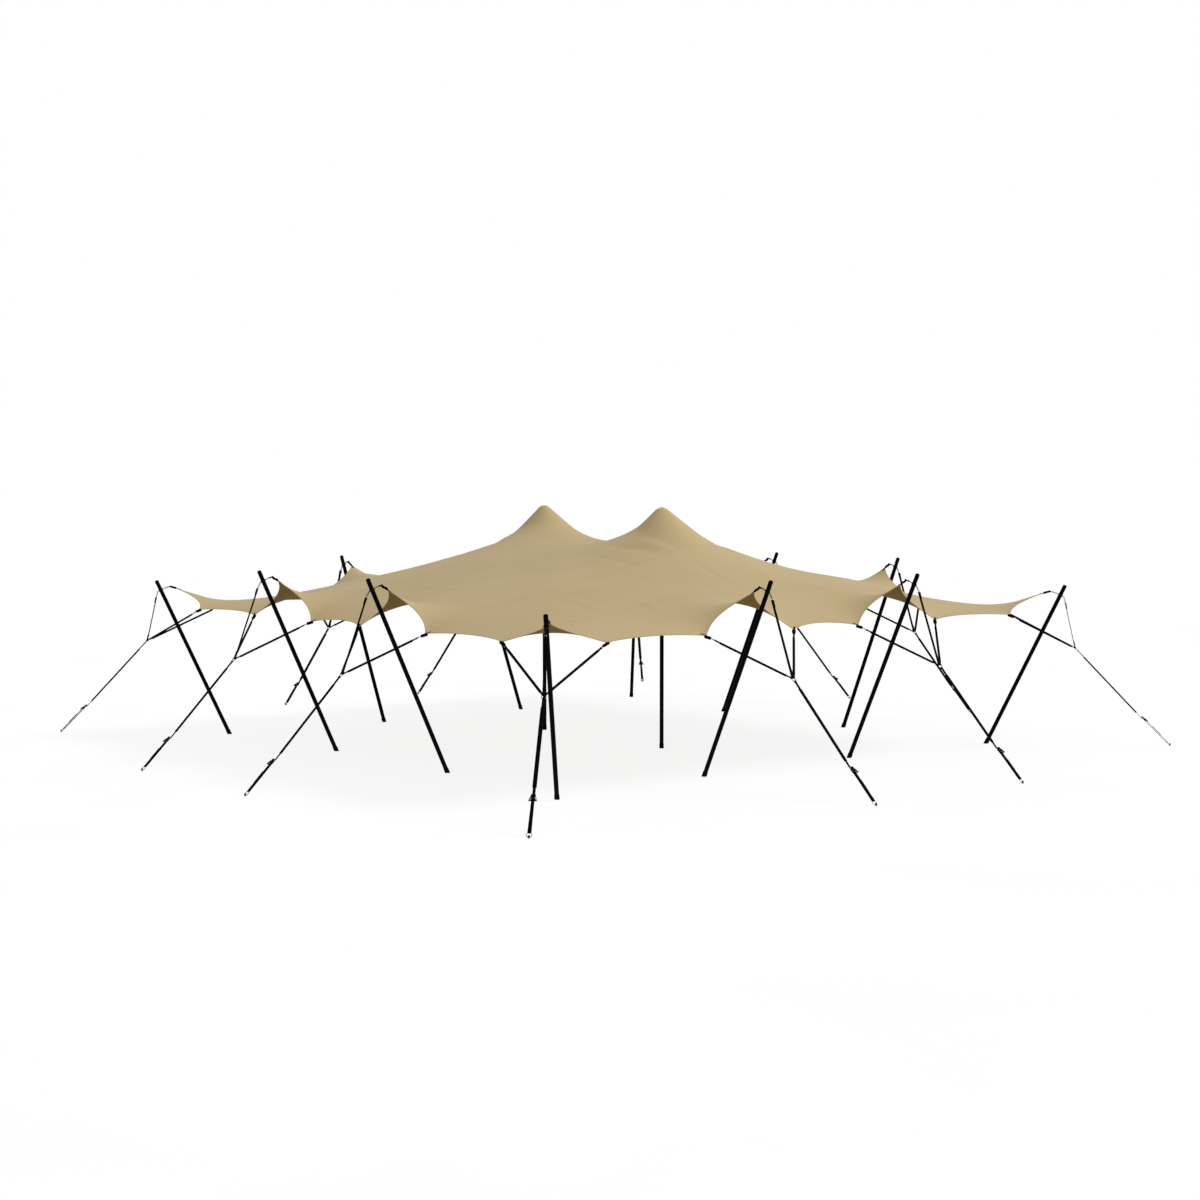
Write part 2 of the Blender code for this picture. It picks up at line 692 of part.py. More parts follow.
def main():
    clear_scene()
    stations = all_stations()
    build_canopy()
    bpy.context.view_layer.update()
    graph = bpy.context.evaluated_depsgraph_get()
    canopy_tree = BVHTree.FromObject(bpy.data.objects["canopy"], graph)
    build_king_pole("king_pole_west", -STATION_ALONG, canopy_tree)
    build_king_pole("king_pole_east", STATION_ALONG, canopy_tree)
    handle_mesh = build_handle_mesh()
    for kind, group in (("edge", stations[:8]), ("corner", stations[8:])):
        bridle_mesh = build_bridle_mesh(group[0])
        strap_mesh = build_ground_strap_mesh(group[0])
        for station in group:
            build_leaning_pole(station, kind)
            place("bridle_" + station.name, bridle_mesh, station.place)
            place("ground_strap_" + station.name, strap_mesh, station.place)
            build_handle(station, handle_mesh)


main()
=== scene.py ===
"""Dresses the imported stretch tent.

One tensioned cloth hangs between the tips and ears of twelve bridles and over two
king poles. Each station has a leaning pole, a bridle, a ground strap, a hand ratchet
and a stake. Lengths are metres, +Z is up and the ground is at z = 0.
"""

import logging
import math
from dataclasses import dataclass
from enum import Enum

import bmesh
import bpy
import numpy as np
from mathutils import Matrix, Vector
from mathutils.bvhtree import BVHTree


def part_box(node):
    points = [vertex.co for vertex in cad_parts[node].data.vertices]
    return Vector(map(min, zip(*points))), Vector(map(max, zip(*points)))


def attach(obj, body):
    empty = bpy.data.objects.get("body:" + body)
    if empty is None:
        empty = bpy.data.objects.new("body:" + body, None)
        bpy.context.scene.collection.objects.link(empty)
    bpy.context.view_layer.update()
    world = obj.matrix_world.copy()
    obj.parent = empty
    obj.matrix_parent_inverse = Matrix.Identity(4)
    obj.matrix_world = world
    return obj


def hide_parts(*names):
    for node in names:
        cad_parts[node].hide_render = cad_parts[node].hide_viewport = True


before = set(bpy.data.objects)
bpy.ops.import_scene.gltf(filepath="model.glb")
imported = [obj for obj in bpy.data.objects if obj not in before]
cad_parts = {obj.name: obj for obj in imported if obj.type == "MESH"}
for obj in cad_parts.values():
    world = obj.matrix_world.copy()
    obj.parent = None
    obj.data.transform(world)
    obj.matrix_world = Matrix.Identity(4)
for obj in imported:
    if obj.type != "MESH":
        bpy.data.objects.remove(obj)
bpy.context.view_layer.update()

LOG = logging.getLogger("stretch_tent")
ACROSS = Vector((1, 0, 0))
UP = Vector((0, 0, 1))
QUARTER = math.pi / 2
SIDEWAYS = Matrix(((0, 0, 1, 0), (1, 0, 0, 0), (0, 1, 0, 0), (0, 0, 0, 1)))
KINGS = ("king_pole_west", "king_pole_east")
SHARP_ANGLE = math.radians(35)
LAYER_GAP = 0.0004
THREAD_LIFT = 0.0002
Socket = bpy.types.NodeSocket
Mesh = bpy.types.Mesh
Material = bpy.types.Material
Triple = tuple[float, float, float]
Pair = tuple[float, float]
SewnLine = tuple[list[Vector], list[Vector]]


class Slot(Enum):
    """Material slots of the record."""

    CLOTH = "cloth"
    POLE = "pole_black"
    WEBBING = "webbing_black"
    RATCHET = "ratchet_black"
    STEEL = "ring_steel"


class StationKind(Enum):
    """Where a leaning pole stands."""

    EDGE = "edge"
    CORNER = "corner"


class NodeBench:
    """Lays out the nodes of one tree."""

    prefix = "ShaderNode"

    def __init__(self, tree: bpy.types.NodeTree) -> None:
        """Takes the tree."""
        self.tree = tree

    def node(self, kind: str, inputs: dict | None = None, **settings: object) -> bpy.types.Node:
        """Adds a node.

        Args:
            kind: its type, where the bench's own prefix may be left off.
            inputs: values and output sockets, or a list of them, by the input's name or number.
            settings: the node's own options.

        Returns:
            The new node.
        """
        made = self.tree.nodes.new(kind if "Node" in kind else self.prefix + kind)
        for key, value in settings.items():
            setattr(made, key, value)
        for key, given in (inputs or {}).items():
            for value in given if isinstance(given, list) else [given]:
                if isinstance(value, Socket):
                    self.tree.links.new(value, made.inputs[key])
                else:
                    made.inputs[key].default_value = value
        return made

    def add(self, kind: str, inputs: dict | None = None, **settings: object) -> Socket:
        """Adds a node in the same way and gives its first output."""
        return self.node(kind, inputs, **settings).outputs[0]

    def maths(self, operation: str, first: object, second: object = 0.0) -> Socket:
        """One sum of two values."""
        return self.add("ShaderNodeMath", {0: first, 1: second}, operation=operation)


class ShaderBench(NodeBench):
    """Lays out the shader nodes of one material."""

    def __init__(self, name: str) -> None:
        """Starts a material with one Principled shader.

        Args:
            name: the material's name.
        """
        self.material = bpy.data.materials.new(name)
        self.material.use_nodes = True
        super().__init__(self.material.node_tree)
        self.shader = self.tree.nodes["Principled BSDF"]

    def place(self, space: str = "Object") -> Socket:
        """The pattern coordinates of that name."""
        return self.node("TexCoord").outputs[space]

    def drawn_out(self, where: Socket, scale: Triple, turn: float = 0.0) -> Socket:
        """Those coordinates, turned about Z and scaled along each axis."""
        return self.add("Mapping", {"Vector": where, "Rotation": (0, 0, turn), "Scale": scale})

    def noise(self, where: Socket, scale: float, detail: float = 3.0) -> Socket:
        """A cloudy value from 0 to 1 at that many cells a metre."""
        return self.add("TexNoise", {"Vector": where, "Scale": scale, "Detail": detail})

    def ramp(self, value: Socket, *stops: tuple[float, Triple]) -> Socket:
        """Turns a value into a colour.

        Args:
            value: from 0 to 1.
            stops: places from 0 to 1 and their colours.

        Returns:
            The colour's socket.
        """
        node = self.node("ValToRGB", {"Fac": value})
        for element, (place, colour) in zip(node.color_ramp.elements, stops):
            element.position = place
            element.color = (*colour, 1.0)
        return node.outputs["Color"]

    def spread(self, value: Socket, low: float, high: float) -> Socket:
        """Stretches a value from 0 to 1 between two others."""
        return self.add("MapRange", {"Value": value, "To Min": low, "To Max": high})

    def relief(self, height: Socket, depth: float, strength: float, under: Socket | None = None) -> Socket:
        """Turns a height into a bumped normal.

        Args:
            height: from 0 to 1.
            depth: how deep a height of 1 stands, in metres.
            strength: how much of it shows.
            under: a normal that this one is laid over.

        Returns:
            The normal's socket.
        """
        inputs = {"Height": height, "Distance": depth, "Strength": strength}
        if under is not None:
            inputs["Normal"] = under
        return self.add("Bump", inputs)

    def finish(self, **values: object) -> Material:
        """Sets the shader's sockets.

        Args:
            values: plain values and sockets, by the input's name with _ for a space.

        Returns:
            The finished material.
        """
        for key, value in values.items():
            socket = self.shader.inputs[key.replace("_", " ")]
            if isinstance(value, Socket):
                self.tree.links.new(value, socket)
            else:
                socket.default_value = value
        return self.material


@dataclass(frozen=True)
class Finish:
    """A surface between two colours."""

    name: str
    dark: Triple
    light: Triple


@dataclass(frozen=True)
class ClothFinish(Finish):
    """Four-way stretch cloth: a fine knit with soft creases."""

    gloss: float = 0.25
    sheen: float = 0.08
    knit_pitch: float = 0.0022
    knit_depth: float = 0.0003
    crease_depth: float = 0.012
    drag_turn: float = 0.9

    def material(self) -> Material:
        """Makes the cloth's material.

        Returns:
            The material.
        """
        bench = ShaderBench(self.name)
        flat, solid = bench.place("UV"), bench.place()
        along = bench.node("SeparateXYZ", {0: flat}).outputs
        turn = 2 * math.pi / self.knit_pitch
        ribs, rows = (bench.maths("SINE", bench.maths("MULTIPLY", along[way], turn)) for way in "XY")
        knit = bench.spread(bench.maths("ADD", ribs, rows), 0.25, 0.75)
        creases = bench.noise(bench.drawn_out(solid, (0.55, 1.5, 1.0)), 1.7, 4.0)
        drags = bench.noise(bench.drawn_out(solid, (0.4, 2.6, 1.0), self.drag_turn), 2.3, 5.0)
        normal = bench.relief(creases, self.crease_depth, 0.35)
        normal = bench.relief(drags, self.crease_depth / 2, 0.3, normal)
        normal = bench.relief(knit, self.knit_depth, 0.25, normal)
        tone = bench.maths("ADD", bench.noise(solid, 0.8, 4.0), bench.noise(flat, 90.0, 2.0))
        colour = bench.ramp(bench.maths("MULTIPLY", tone, 0.5), (0.3, self.dark), (0.7, self.light))
        rough = bench.spread(bench.noise(solid, 14.0), 0.78, 0.92)
        return bench.finish(
            Base_Color=colour, Roughness=rough, Normal=normal, Specular_IOR_Level=self.gloss,
            Sheen_Weight=self.sheen, Sheen_Roughness=0.4,
        )


@dataclass(frozen=True)
class WebbingFinish(Finish):
    """Woven polyester strap: slanting ribs that meet in the middle."""

    rib_pitch: float = 0.0026
    yarn_pitch: float = 0.0017
    slant: float = 0.8
    depth: float = 0.0004

    def material(self) -> Material:
        """Makes the strap's material.

        Returns:
            The material.
        """
        bench = ShaderBench(self.name)
        flat = bench.node("SeparateXYZ", {0: bench.place("UV")}).outputs
        aside = bench.maths("MULTIPLY", bench.maths("ABSOLUTE", flat["X"]), self.slant)
        slanted = bench.maths("ADD", flat["Y"], aside)
        turn = bench.maths("MULTIPLY", slanted, 2 * math.pi / self.rib_pitch)
        ribs = bench.spread(bench.maths("SINE", turn), 0.0, 1.0)
        yarn = bench.maths("SINE", bench.maths("MULTIPLY", flat["X"], 2 * math.pi / self.yarn_pitch))
        weave = bench.maths("ADD", ribs, bench.maths("MULTIPLY", yarn, 0.25))
        dust = bench.noise(bench.place(), 9.0, 5.0)
        tone = bench.maths("MULTIPLY", bench.maths("ADD", ribs, dust), 0.5)
        return bench.finish(
            Base_Color=bench.ramp(tone, (0.2, self.dark), (0.85, self.light)), Specular_IOR_Level=0.02,
            Roughness=bench.spread(dust, 0.72, 0.9), Normal=bench.relief(weave, self.depth, 0.6),
        )


@dataclass(frozen=True)
class CoatedFinish(Finish):
    """Powder coat: orange peel, faint scuffs and a little dust near the ground."""

    roughness: float
    gloss: float
    scuffs: float = 0.35
    dust: float = 0.22
    dust_height: float = 0.3

    def material(self) -> Material:
        """Makes the coat's material.

        Returns:
            The material.
        """
        bench = ShaderBench(self.name)
        solid = bench.place()
        peel = bench.noise(solid, 420.0, 2.0)
        worn = bench.noise(bench.drawn_out(solid, (1.0, 1.0, 0.12)), 38.0, 6.0)
        height = bench.node("SeparateXYZ", {0: solid}).outputs["Z"]
        reach = {"From Min": 0.0, "From Max": self.dust_height, "To Min": self.dust, "To Max": 0.0}
        low = bench.add("MapRange", {"Value": height, **reach})
        tone = bench.maths("ADD", bench.maths("MULTIPLY", worn, self.scuffs), low)
        normal = bench.relief(worn, 0.0002, 0.3, bench.relief(peel, 0.00012, 0.5))
        return bench.finish(
            Base_Color=bench.ramp(tone, (0.15, self.dark), (0.8, self.light)), Metallic=0.0,
            Roughness=bench.spread(worn, self.roughness - 0.08, self.roughness + 0.12),
            Normal=normal, Specular_IOR_Level=self.gloss,
        )


@dataclass(frozen=True)
class BareSteelFinish(Finish):
    """Zinc-plated or forged steel: spangle, fine scratches and dull patches."""

    roughness: float
    metallic: float = 1.0

    def material(self) -> Material:
        """Makes the steel's material.

        Returns:
            The material.
        """
        bench = ShaderBench(self.name)
        solid = bench.place()
        flakes = bench.add("TexVoronoi", {"Vector": solid, "Scale": 210.0})
        patches = bench.noise(solid, 60.0, 6.0)
        scratches = bench.noise(bench.drawn_out(solid, (1.0, 6.0, 1.0)), 520.0, 2.0)
        tone = bench.maths("MULTIPLY", bench.maths("ADD", flakes, patches), 0.6)
        return bench.finish(
            Base_Color=bench.ramp(tone, (0.15, self.dark), (0.7, self.light)),
            Roughness=bench.spread(patches, self.roughness - 0.08, self.roughness + 0.2),
            Normal=bench.relief(scratches, 0.00008, 0.5), Metallic=self.metallic,
        )


@dataclass(frozen=True)
class ThreadFinish(Finish):
    """Twisted sewing thread."""

    def material(self) -> Material:
        """Makes the thread's material.

        Returns:
            The material.
        """
        bench = ShaderBench(self.name)
        twist = bench.noise(bench.place(), 900.0, 1.0)
        colour = bench.ramp(twist, (0.35, self.dark), (0.65, self.light))
        return bench.finish(Base_Color=colour, Roughness=0.75, Specular_IOR_Level=0.2)


@dataclass(frozen=True)
class FloorFinish(Finish):
    """Pale studio floor, almost even, with a light of its own that softens the shadows."""

    glow: float = 0.88

    def material(self) -> Material:
        """Makes the floor's material.

        Returns:
            The material.
        """
        bench = ShaderBench(self.name)
        tone = bench.noise(bench.place(), 0.3, 2.0)
        return bench.finish(
            Base_Color=bench.ramp(tone, (0.3, self.dark), (0.7, self.light)), Roughness=1.0,
            Specular_IOR_Level=0.0, Emission_Color=(1.0, 1.0, 1.0, 1.0), Emission_Strength=self.glow,
        )


class Finishes:
    """Every material of the tent, made once."""

    def __init__(self) -> None:
        """Makes them all."""
        top = ClothFinish("cloth_top", (0.44, 0.333, 0.172), (0.5, 0.385, 0.205))
        # The underside is a much darker copy of the cloth's colour: painted shade for the cloth's unlit lower
        # face, not a different fabric.
        under = ClothFinish("cloth_underside_painted_shade", (0.125, 0.079, 0.024), (0.152, 0.097, 0.031), 0.02, 0.0)
        hem = ClothFinish("cloth_hem", (0.33, 0.245, 0.122), (0.4, 0.3, 0.155))
        webbing = WebbingFinish("webbing_weave", (0.0008, 0.0008, 0.0009), (0.0045, 0.0045, 0.0047))
        pole = CoatedFinish("pole_coat", (0.0008, 0.0008, 0.0009), (0.005, 0.0049, 0.0047), 0.45, 0.03)
        rubber = CoatedFinish("black_rubber", (0.001, 0.001, 0.001), (0.006, 0.0059, 0.0056), 0.85, 0.03)
        ratchet = CoatedFinish("ratchet_coat", (0.0018, 0.0018, 0.0019), (0.012, 0.012, 0.0124), 0.4, 0.06)
        steel = BareSteelFinish("ring_steel", (0.07, 0.07, 0.069), (0.3, 0.3, 0.295), 0.24)
        forged = BareSteelFinish("forged_steel", (0.003, 0.0028, 0.0026), (0.012, 0.0112, 0.0102), 0.6, 0.3)
        cloth_thread = ThreadFinish("cloth_thread", (0.42, 0.325, 0.178), (0.5, 0.39, 0.22))
        black_thread = ThreadFinish("black_thread", (0.006, 0.006, 0.006), (0.03, 0.03, 0.03))
        self.cloth, self.lining, self.hem = top.material(), under.material(), hem.material()
        self.webbing, self.pole, self.rubber = webbing.material(), pole.material(), rubber.material()
        self.ratchet, self.steel, self.forged = ratchet.material(), steel.material(), forged.material()
        self.cloth_thread, self.black_thread = cloth_thread.material(), black_thread.material()


def frame_of(origin: Vector, x: Vector, y: Vector, z: Vector) -> Matrix:
    """A frame with those axes.

    Args:
        origin: where it is.
        x: its first axis.
        y: its second axis.
        z: its third axis.

    Returns:
        The frame.
    """
    found = Matrix((x, y, z)).transposed().to_4x4()
    found.translation = origin
    return found


def frame_up(origin: Vector, axis: Vector) -> Matrix:
    """A frame whose Z axis is along another.

    Args:
        origin: where it is.
        axis: what its Z axis is along.

    Returns:
        The frame.
    """
    found = axis.to_track_quat("Z", "Y").to_matrix().to_4x4()
    found.translation = origin
    return found


def arc(steps: int, start: float = 0.0, sweep: float = math.tau) -> list[Pair]:
    """The cosine and sine of turns that are evenly apart, both ends included."""
    turns = [start + sweep * k / steps for k in range(steps + 1)]
    return [(math.cos(turn), math.sin(turn)) for turn in turns]


@dataclass(frozen=True)
class StationPlan:
    """Points of one kind of station, in the plane through its pole.

    Points are (across, out, up): across the plane, outwards from the tent, and up. The
    outer ring is from the collar, and the sling's arc from the cloth's tip.
    """

    kind: StationKind
    foot: float
    top: Pair
    tip: Pair
    ear: Triple
    ring: Pair
    ratchet: Pair
    stake: float
    outer_ring: Pair
    sling_arc: tuple[Pair, Pair]
    collar_below_top: float = 0.17
    ratchet_length: float = 0.062

    def foot_point(self) -> Vector:
        """Where the pole stands."""
        return Vector((0.0, self.foot, 0.0))

    def top_point(self) -> Vector:
        """The pole's top."""
        return Vector((0.0, *self.top))

    def tip_point(self) -> Vector:
        """The cloth's high tip."""
        return Vector((0.0, *self.tip))

    def ring_point(self) -> Vector:
        """The middle of the bridle's ring."""
        return Vector((0.0, *self.ring))

    def stake_point(self) -> Vector:
        """Where the stake goes into the ground."""
        return Vector((0.0, self.stake, 0.0))

    def ear_points(self) -> list[Vector]:
        """The two low ears of the cloth."""
        return [Vector((side * self.ear[0], self.ear[1], self.ear[2])) for side in (-1, 1)]

    def pole_axis(self) -> Vector:
        """The way up the pole."""
        return (self.top_point() - self.foot_point()).normalized()

    def collar(self) -> Vector:
        """The middle of the collar."""
        return self.top_point() - self.pole_axis() * self.collar_below_top

    def strap_axis(self) -> Vector:
        """The way up the ground strap."""
        return (self.ring_point() - self.stake_point()).normalized()

    def strap_face(self) -> Vector:
        """The way that the ground strap's upper face looks."""
        return ACROSS.cross(-self.strap_axis())

    def bolt(self) -> Vector:
        """The middle of the bolt at the ratchet's lower end."""
        reach = (Vector((0.0, *self.ratchet)) - self.stake_point()).length
        return self.stake_point() + self.strap_axis() * reach

    def spindle(self) -> Vector:
        """The middle of the ratchet's spindle."""
        return self.bolt() + self.strap_axis() * self.ratchet_length

    def pole_frame(self, origin: Vector) -> Matrix:
        """A frame there, with X across the plane and Z up the pole."""
        return frame_of(origin, ACROSS, self.pole_axis().cross(ACROSS), self.pole_axis())

    def strap_frame(self) -> Matrix:
        """A frame on the spindle, with Y up the ground strap and Z out of its face."""
        return frame_of(self.spindle(), -ACROSS, self.strap_axis(), self.strap_face())


@dataclass(frozen=True)
class Station:
    """One leaning pole with its bridle, strap and ratchet, at its place."""

    name: str
    bearing: float
    along: float
    plan: StationPlan

    def place(self) -> Matrix:
        """From the plan's frame to the tent's."""
        turn = Matrix.Rotation(math.radians(self.bearing), 4, "Z")
        return turn @ Matrix.Translation((self.along, 0.0, 0.0))

    def node(self, part: str) -> str:
        """The name of this station's node of that part."""
        return f"{part}_{self.name}"


@dataclass(frozen=True)
class TentPlan:
    """The stations and the held points of the cloth."""

    along: float = 1.449
    corner_tip: float = 4.835
    edge_tip: Pair = (4.967, 2.596)
    corner_tip_height: float = 2.331
    ear_out: float = 4.914
    ear_height: float = 2.045
    ear_reach: float = 0.81
    corner_ear: float = 3.969
    corner_foot: float = 4.246
    corner_top: Pair = (5.08, 2.469)

    def edge(self) -> StationPlan:
        """Plans the eight stations along the edges.

        Returns:
            Their plan.
        """
        return StationPlan(
            kind=StationKind.EDGE, foot=3.99, top=(5.297, 2.768), tip=self.edge_tip,
            ear=(self.ear_reach, self.ear_out, self.ear_height), ring=(5.728, 1.485),
            ratchet=(6.819, 0.39), stake=7.205, outer_ring=(0.0915, -0.099),
            sling_arc=((0.075, 0.048), (0.034, 0.032)),
        )

    def corner(self) -> StationPlan:
        """Plans the four stations at the corners.

        Returns:
            Their plan, along the tent's diagonal.
        """
        root = math.sqrt(2)
        apart, out = self.ear_out - self.corner_ear, self.ear_out + self.corner_ear
        return StationPlan(
            kind=StationKind.CORNER, foot=self.corner_foot * root,
            top=(self.corner_top[0] * root, self.corner_top[1]),
            tip=(self.corner_tip * root, self.corner_tip_height),
            ear=(apart / root, out / root, self.ear_height), ring=(7.366, 1.479),
            ratchet=(8.429, 0.39), stake=8.80, outer_ring=(0.076, -0.113),
            sling_arc=((0.075, 0.03), (0.034, 0.02)),
        )

    def stations(self) -> list[Station]:
        """Sets out all twelve stations.

        Returns:
            The edges' and then the corners', each at its bearing from the north.
        """
        edge, corner = self.edge(), self.corner()
        found = []
        for name, bearing in (("north", 0), ("west", 90), ("south", 180), ("east", 270)):
            found.append(Station(name + "_1", bearing, -self.along, edge))
            found.append(Station(name + "_2", bearing, self.along, edge))
        corners = (("north_west", 45), ("south_west", 135), ("south_east", 225), ("north_east", 315))
        return found + [Station(name, bearing, 0.0, corner) for name, bearing in corners]


class Draft:
    """Collects closed skins and turns them into one mesh."""

    def __init__(self) -> None:
        """Starts empty."""
        self.points: list[Vector] = []
        self.faces: list[tuple[int, ...]] = []
        self.corners: list[Pair] = []
        self.slots: list[int] = []

    def face(self, corners: tuple[int, ...], pattern: list[Pair], slot: int) -> None:
        """Adds one face.

        Args:
            corners: the numbers of its points.
            pattern: the pattern coordinates of its corners.
            slot: which of the piece's materials it takes.
        """
        self.faces.append(corners)
        self.corners.extend(pattern)
        self.slots.append(slot)

    def skin(
        self,
        sections: list[list[Vector]],
        rounds: list[float] | None = None,
        lengths: list[float] | None = None,
        looped: bool = False,
        slot: int = 0,
    ) -> None:
        """Joins cross-sections into one closed skin.

        Args:
            sections: closed loops of points, each with the same number of points.
            rounds: pattern coordinate of each point round a section, and of the first one again.
            lengths: pattern coordinate of each section, and of the first one again where looped.
            looped: whether the last section joins the first.
            slot: which of the piece's materials it takes.
        """
        count = len(sections[0])
        rounds = rounds or [0.01 * k for k in range(count + 1)]
        lengths = lengths or [0.01 * k for k in range(len(sections) + 1)]
        base = len(self.points)
        for section in sections:
            self.points.extend(section)
        for row in range(len(sections) if looped else len(sections) - 1):
            here, there = base + row * count, base + (row + 1) % len(sections) * count
            near, far = lengths[row : row + 2]
            for k in range(count):
                after = (k + 1) % count
                first, last = rounds[k : k + 2]
                pattern = [(first, near), (last, near), (last, far), (first, far)]
                self.face((here + k, here + after, there + after, there + k), pattern, slot)
        if not looped:
            flat = [(0.0, 0.0)] * count
            end = len(self.points) - count
            self.face(tuple(base + k for k in reversed(range(count))), flat, slot)
            self.face(tuple(end + k for k in range(count)), flat, slot)

    def lathe(self, profile: list[Pair], frame_at: Matrix, sides: int, slot: int = 0) -> None:
        """Turns a profile about the frame's Z axis.

        Args:
            profile: (radius, height) from one end to the other.
            frame_at: where the axis stands.
            sides: how many sides the round has.
            slot: which of the piece's materials it takes.
        """
        turns = arc(sides)[:-1]
        sections = [[frame_at @ Vector((r * c, r * s, height)) for c, s in turns] for r, height in profile]
        widest = max(radius for radius, _ in profile)
        rounds = [widest * math.tau * k / sides for k in range(sides + 1)]
        self.skin(sections, rounds, [height for _, height in profile], slot=slot)

    def sleeve(self, profile: list[Pair], frame_at: Matrix, sides: int) -> None:
        """Turns a closed profile, clear of the axis, into an open sleeve."""
        columns = [[frame_at @ Vector((r * c, r * s, h)) for r, h in profile] for c, s in arc(sides)[:-1]]
        self.skin(columns, looped=True)

    def ring(self, centre: Vector, axis: Vector, radius: float, wire: float, segments: int) -> None:
        """A round ring of round wire, square to the axis, with the radii of both."""
        profile = [(radius + wire * c, wire * s) for c, s in arc(12)[:-1]]
        self.sleeve(profile, frame_up(centre, axis), segments)

    def bar(self, start: Vector, end: Vector, radius: float, edge: float = 0.0008) -> None:
        """A round bar with chamfered ends.

        Args:
            start: the middle of one end.
            end: the middle of the other.
            radius: the bar's radius.
            edge: the chamfer.
        """
        long = (end - start).length
        profile = [(radius - edge, 0.0), (radius, edge), (radius, long - edge), (radius - edge, long)]
        self.lathe(profile, frame_up(start, (end - start).normalized()), 20)

    def plate(self, outline: list[Pair], thickness: float, frame_at: Matrix, edge: float = 0.0006) -> None:
        """A flat plate with chamfered edges, in the frame's XY plane.

        Args:
            outline: its corners, anticlockwise.
            thickness: along the frame's Z axis, half on each side.
            frame_at: where it lies.
            edge: the chamfer.
        """
        inset = []
        for k, corner in enumerate(outline):
            here = Vector(corner)
            before = (here - Vector(outline[k - 1])).normalized()
            after = (Vector(outline[(k + 1) % len(outline)]) - here).normalized()
            inward = Vector((-before.y - after.y, before.x + after.x))
            inward = inward.normalized() if inward.length > 1e-9 else Vector((-before.y, before.x))
            inset.append(here + inward * edge)
        half = thickness / 2
        levels = ((inset, -half), (outline, edge - half), (outline, half - edge), (inset, half))
        self.skin([[frame_at @ Vector((p[0], p[1], height)) for p in shape] for shape, height in levels])

    def mesh(self, name: str, *finishes: Material) -> Mesh:
        """Turns what was collected into a mesh.

        Args:
            name: the mesh's name.
            finishes: its materials, by slot.

        Returns:
            The mesh, with its faces outwards.
        """
        made = bpy.data.meshes.new(name)
        made.from_pydata(self.points, [], self.faces)
        layer = made.uv_layers.new(name="pattern")
        layer.data.foreach_set("uv", np.array(self.corners, np.float32).ravel())
        made.polygons.foreach_set("material_index", self.slots)
        for finish in finishes:
            made.materials.append(finish)
        bm = bmesh.new()
        bm.from_mesh(made)
        bmesh.ops.recalc_face_normals(bm, faces=bm.faces)
        bm.to_mesh(made)
        bm.free()
        made.shade_smooth()
        made.set_sharp_from_angle(angle=SHARP_ANGLE)
        return made


@dataclass(frozen=True)
class Webbing:
    """A flat woven strap with rounded edges."""

    width: float
    thickness: float
    edge_share: float = 0.35
    shoulder_share: float = 0.6

    def layers(self) -> float:
        """From the middle of one layer to that of another sewn to it."""
        return self.thickness + LAYER_GAP

    def outline(self, width: float) -> list[Pair]:
        """Draws the cross-section.

        Args:
            width: how wide the strap is there.

        Returns:
            Its corners, from one edge round.
        """
        half, rise = width / 2, self.thickness / 2
        flat = half - min(self.thickness * self.shoulder_share, half * self.shoulder_share)
        low = rise * self.edge_share
        lower = [(-half, -low), (-flat, -rise), (flat, -rise), (half, -low)]
        return lower + [(a, -b) for a, b in reversed(lower)]

    def lay(
        self,
        draft: Draft,
        path: list[Vector],
        sides: list[Vector] | Vector,
        widths: list[float] | None = None,
    ) -> None:
        """Lays the strap along a path.

        Args:
            draft: what it is added to.
            path: its centre line.
            sides: the way across it, once for the whole path or for each point.
            widths: its width at each point, where that isn't the strap's own.
        """
        count = len(path)
        sides = sides if isinstance(sides, list) else [sides] * count
        widths = widths or [self.width] * count
        sections, lengths, run = [], [], 0.0
        for k, point in enumerate(path):
            along = (path[min(k + 1, count - 1)] - path[max(k - 1, 0)]).normalized()
            side = (sides[k] - along * sides[k].dot(along)).normalized()
            rise = along.cross(side)
            sections.append([point + side * a + rise * b for a, b in self.outline(widths[k])])
            run += (point - path[max(k - 1, 0)]).length
            lengths.append(run)
        rounds = [a for a, _ in self.outline(self.width)]
        draft.skin(sections, rounds + rounds[:1], lengths)


def smooth_path(points: list[Vector], step: float) -> list[Vector]:
    """Rounds a path off.

    Args:
        points: what the path goes through.
        step: about how far apart the new points are.

    Returns:
        Points on a smooth curve through the given ones.
    """
    held = [points[0] * 2 - points[1], *points, points[-1] * 2 - points[-2]]
    path = [points[0]]
    for a, b, c, d in zip(held, held[1:], held[2:], held[3:]):
        count = max(1, round((c - b).length / step))
        for k in range(1, count + 1):
            t = k / count
            near = (c - a) * t + (a * 2 - b * 5 + c * 4 - d) * t * t + (b * 3 - a - c * 3 + d) * t**3
            path.append(b + near / 2)
    return path


def turning(path: list[Vector], side: Vector, first: int, last: int, angle: float) -> list[Vector]:
    """The ways across a strap that turns about its length between two points of its path.

    Args:
        path: the strap's centre line.
        side: the way across it at both ends.
        first: the point where it starts to turn.
        last: the point where it lies as before again.
        angle: how far it turns in between, in degrees.

    Returns:
        The way across at each point.
    """
    run = [0.0]
    for before, after in zip(path, path[1:]):
        run.append(run[-1] + (after - before).length)
    found = []
    for k in range(len(path)):
        along = (path[min(k + 1, len(path) - 1)] - path[max(k - 1, 0)]).normalized()
        room = min(run[k] - run[first], run[last] - run[k]) * 4 / (run[last] - run[first])
        ease = min(max(room, 0.0), 1.0)
        share = ease * ease * (3 - 2 * ease)
        found.append(Matrix.Rotation(math.radians(angle) * share, 3, along) @ side)
    return found


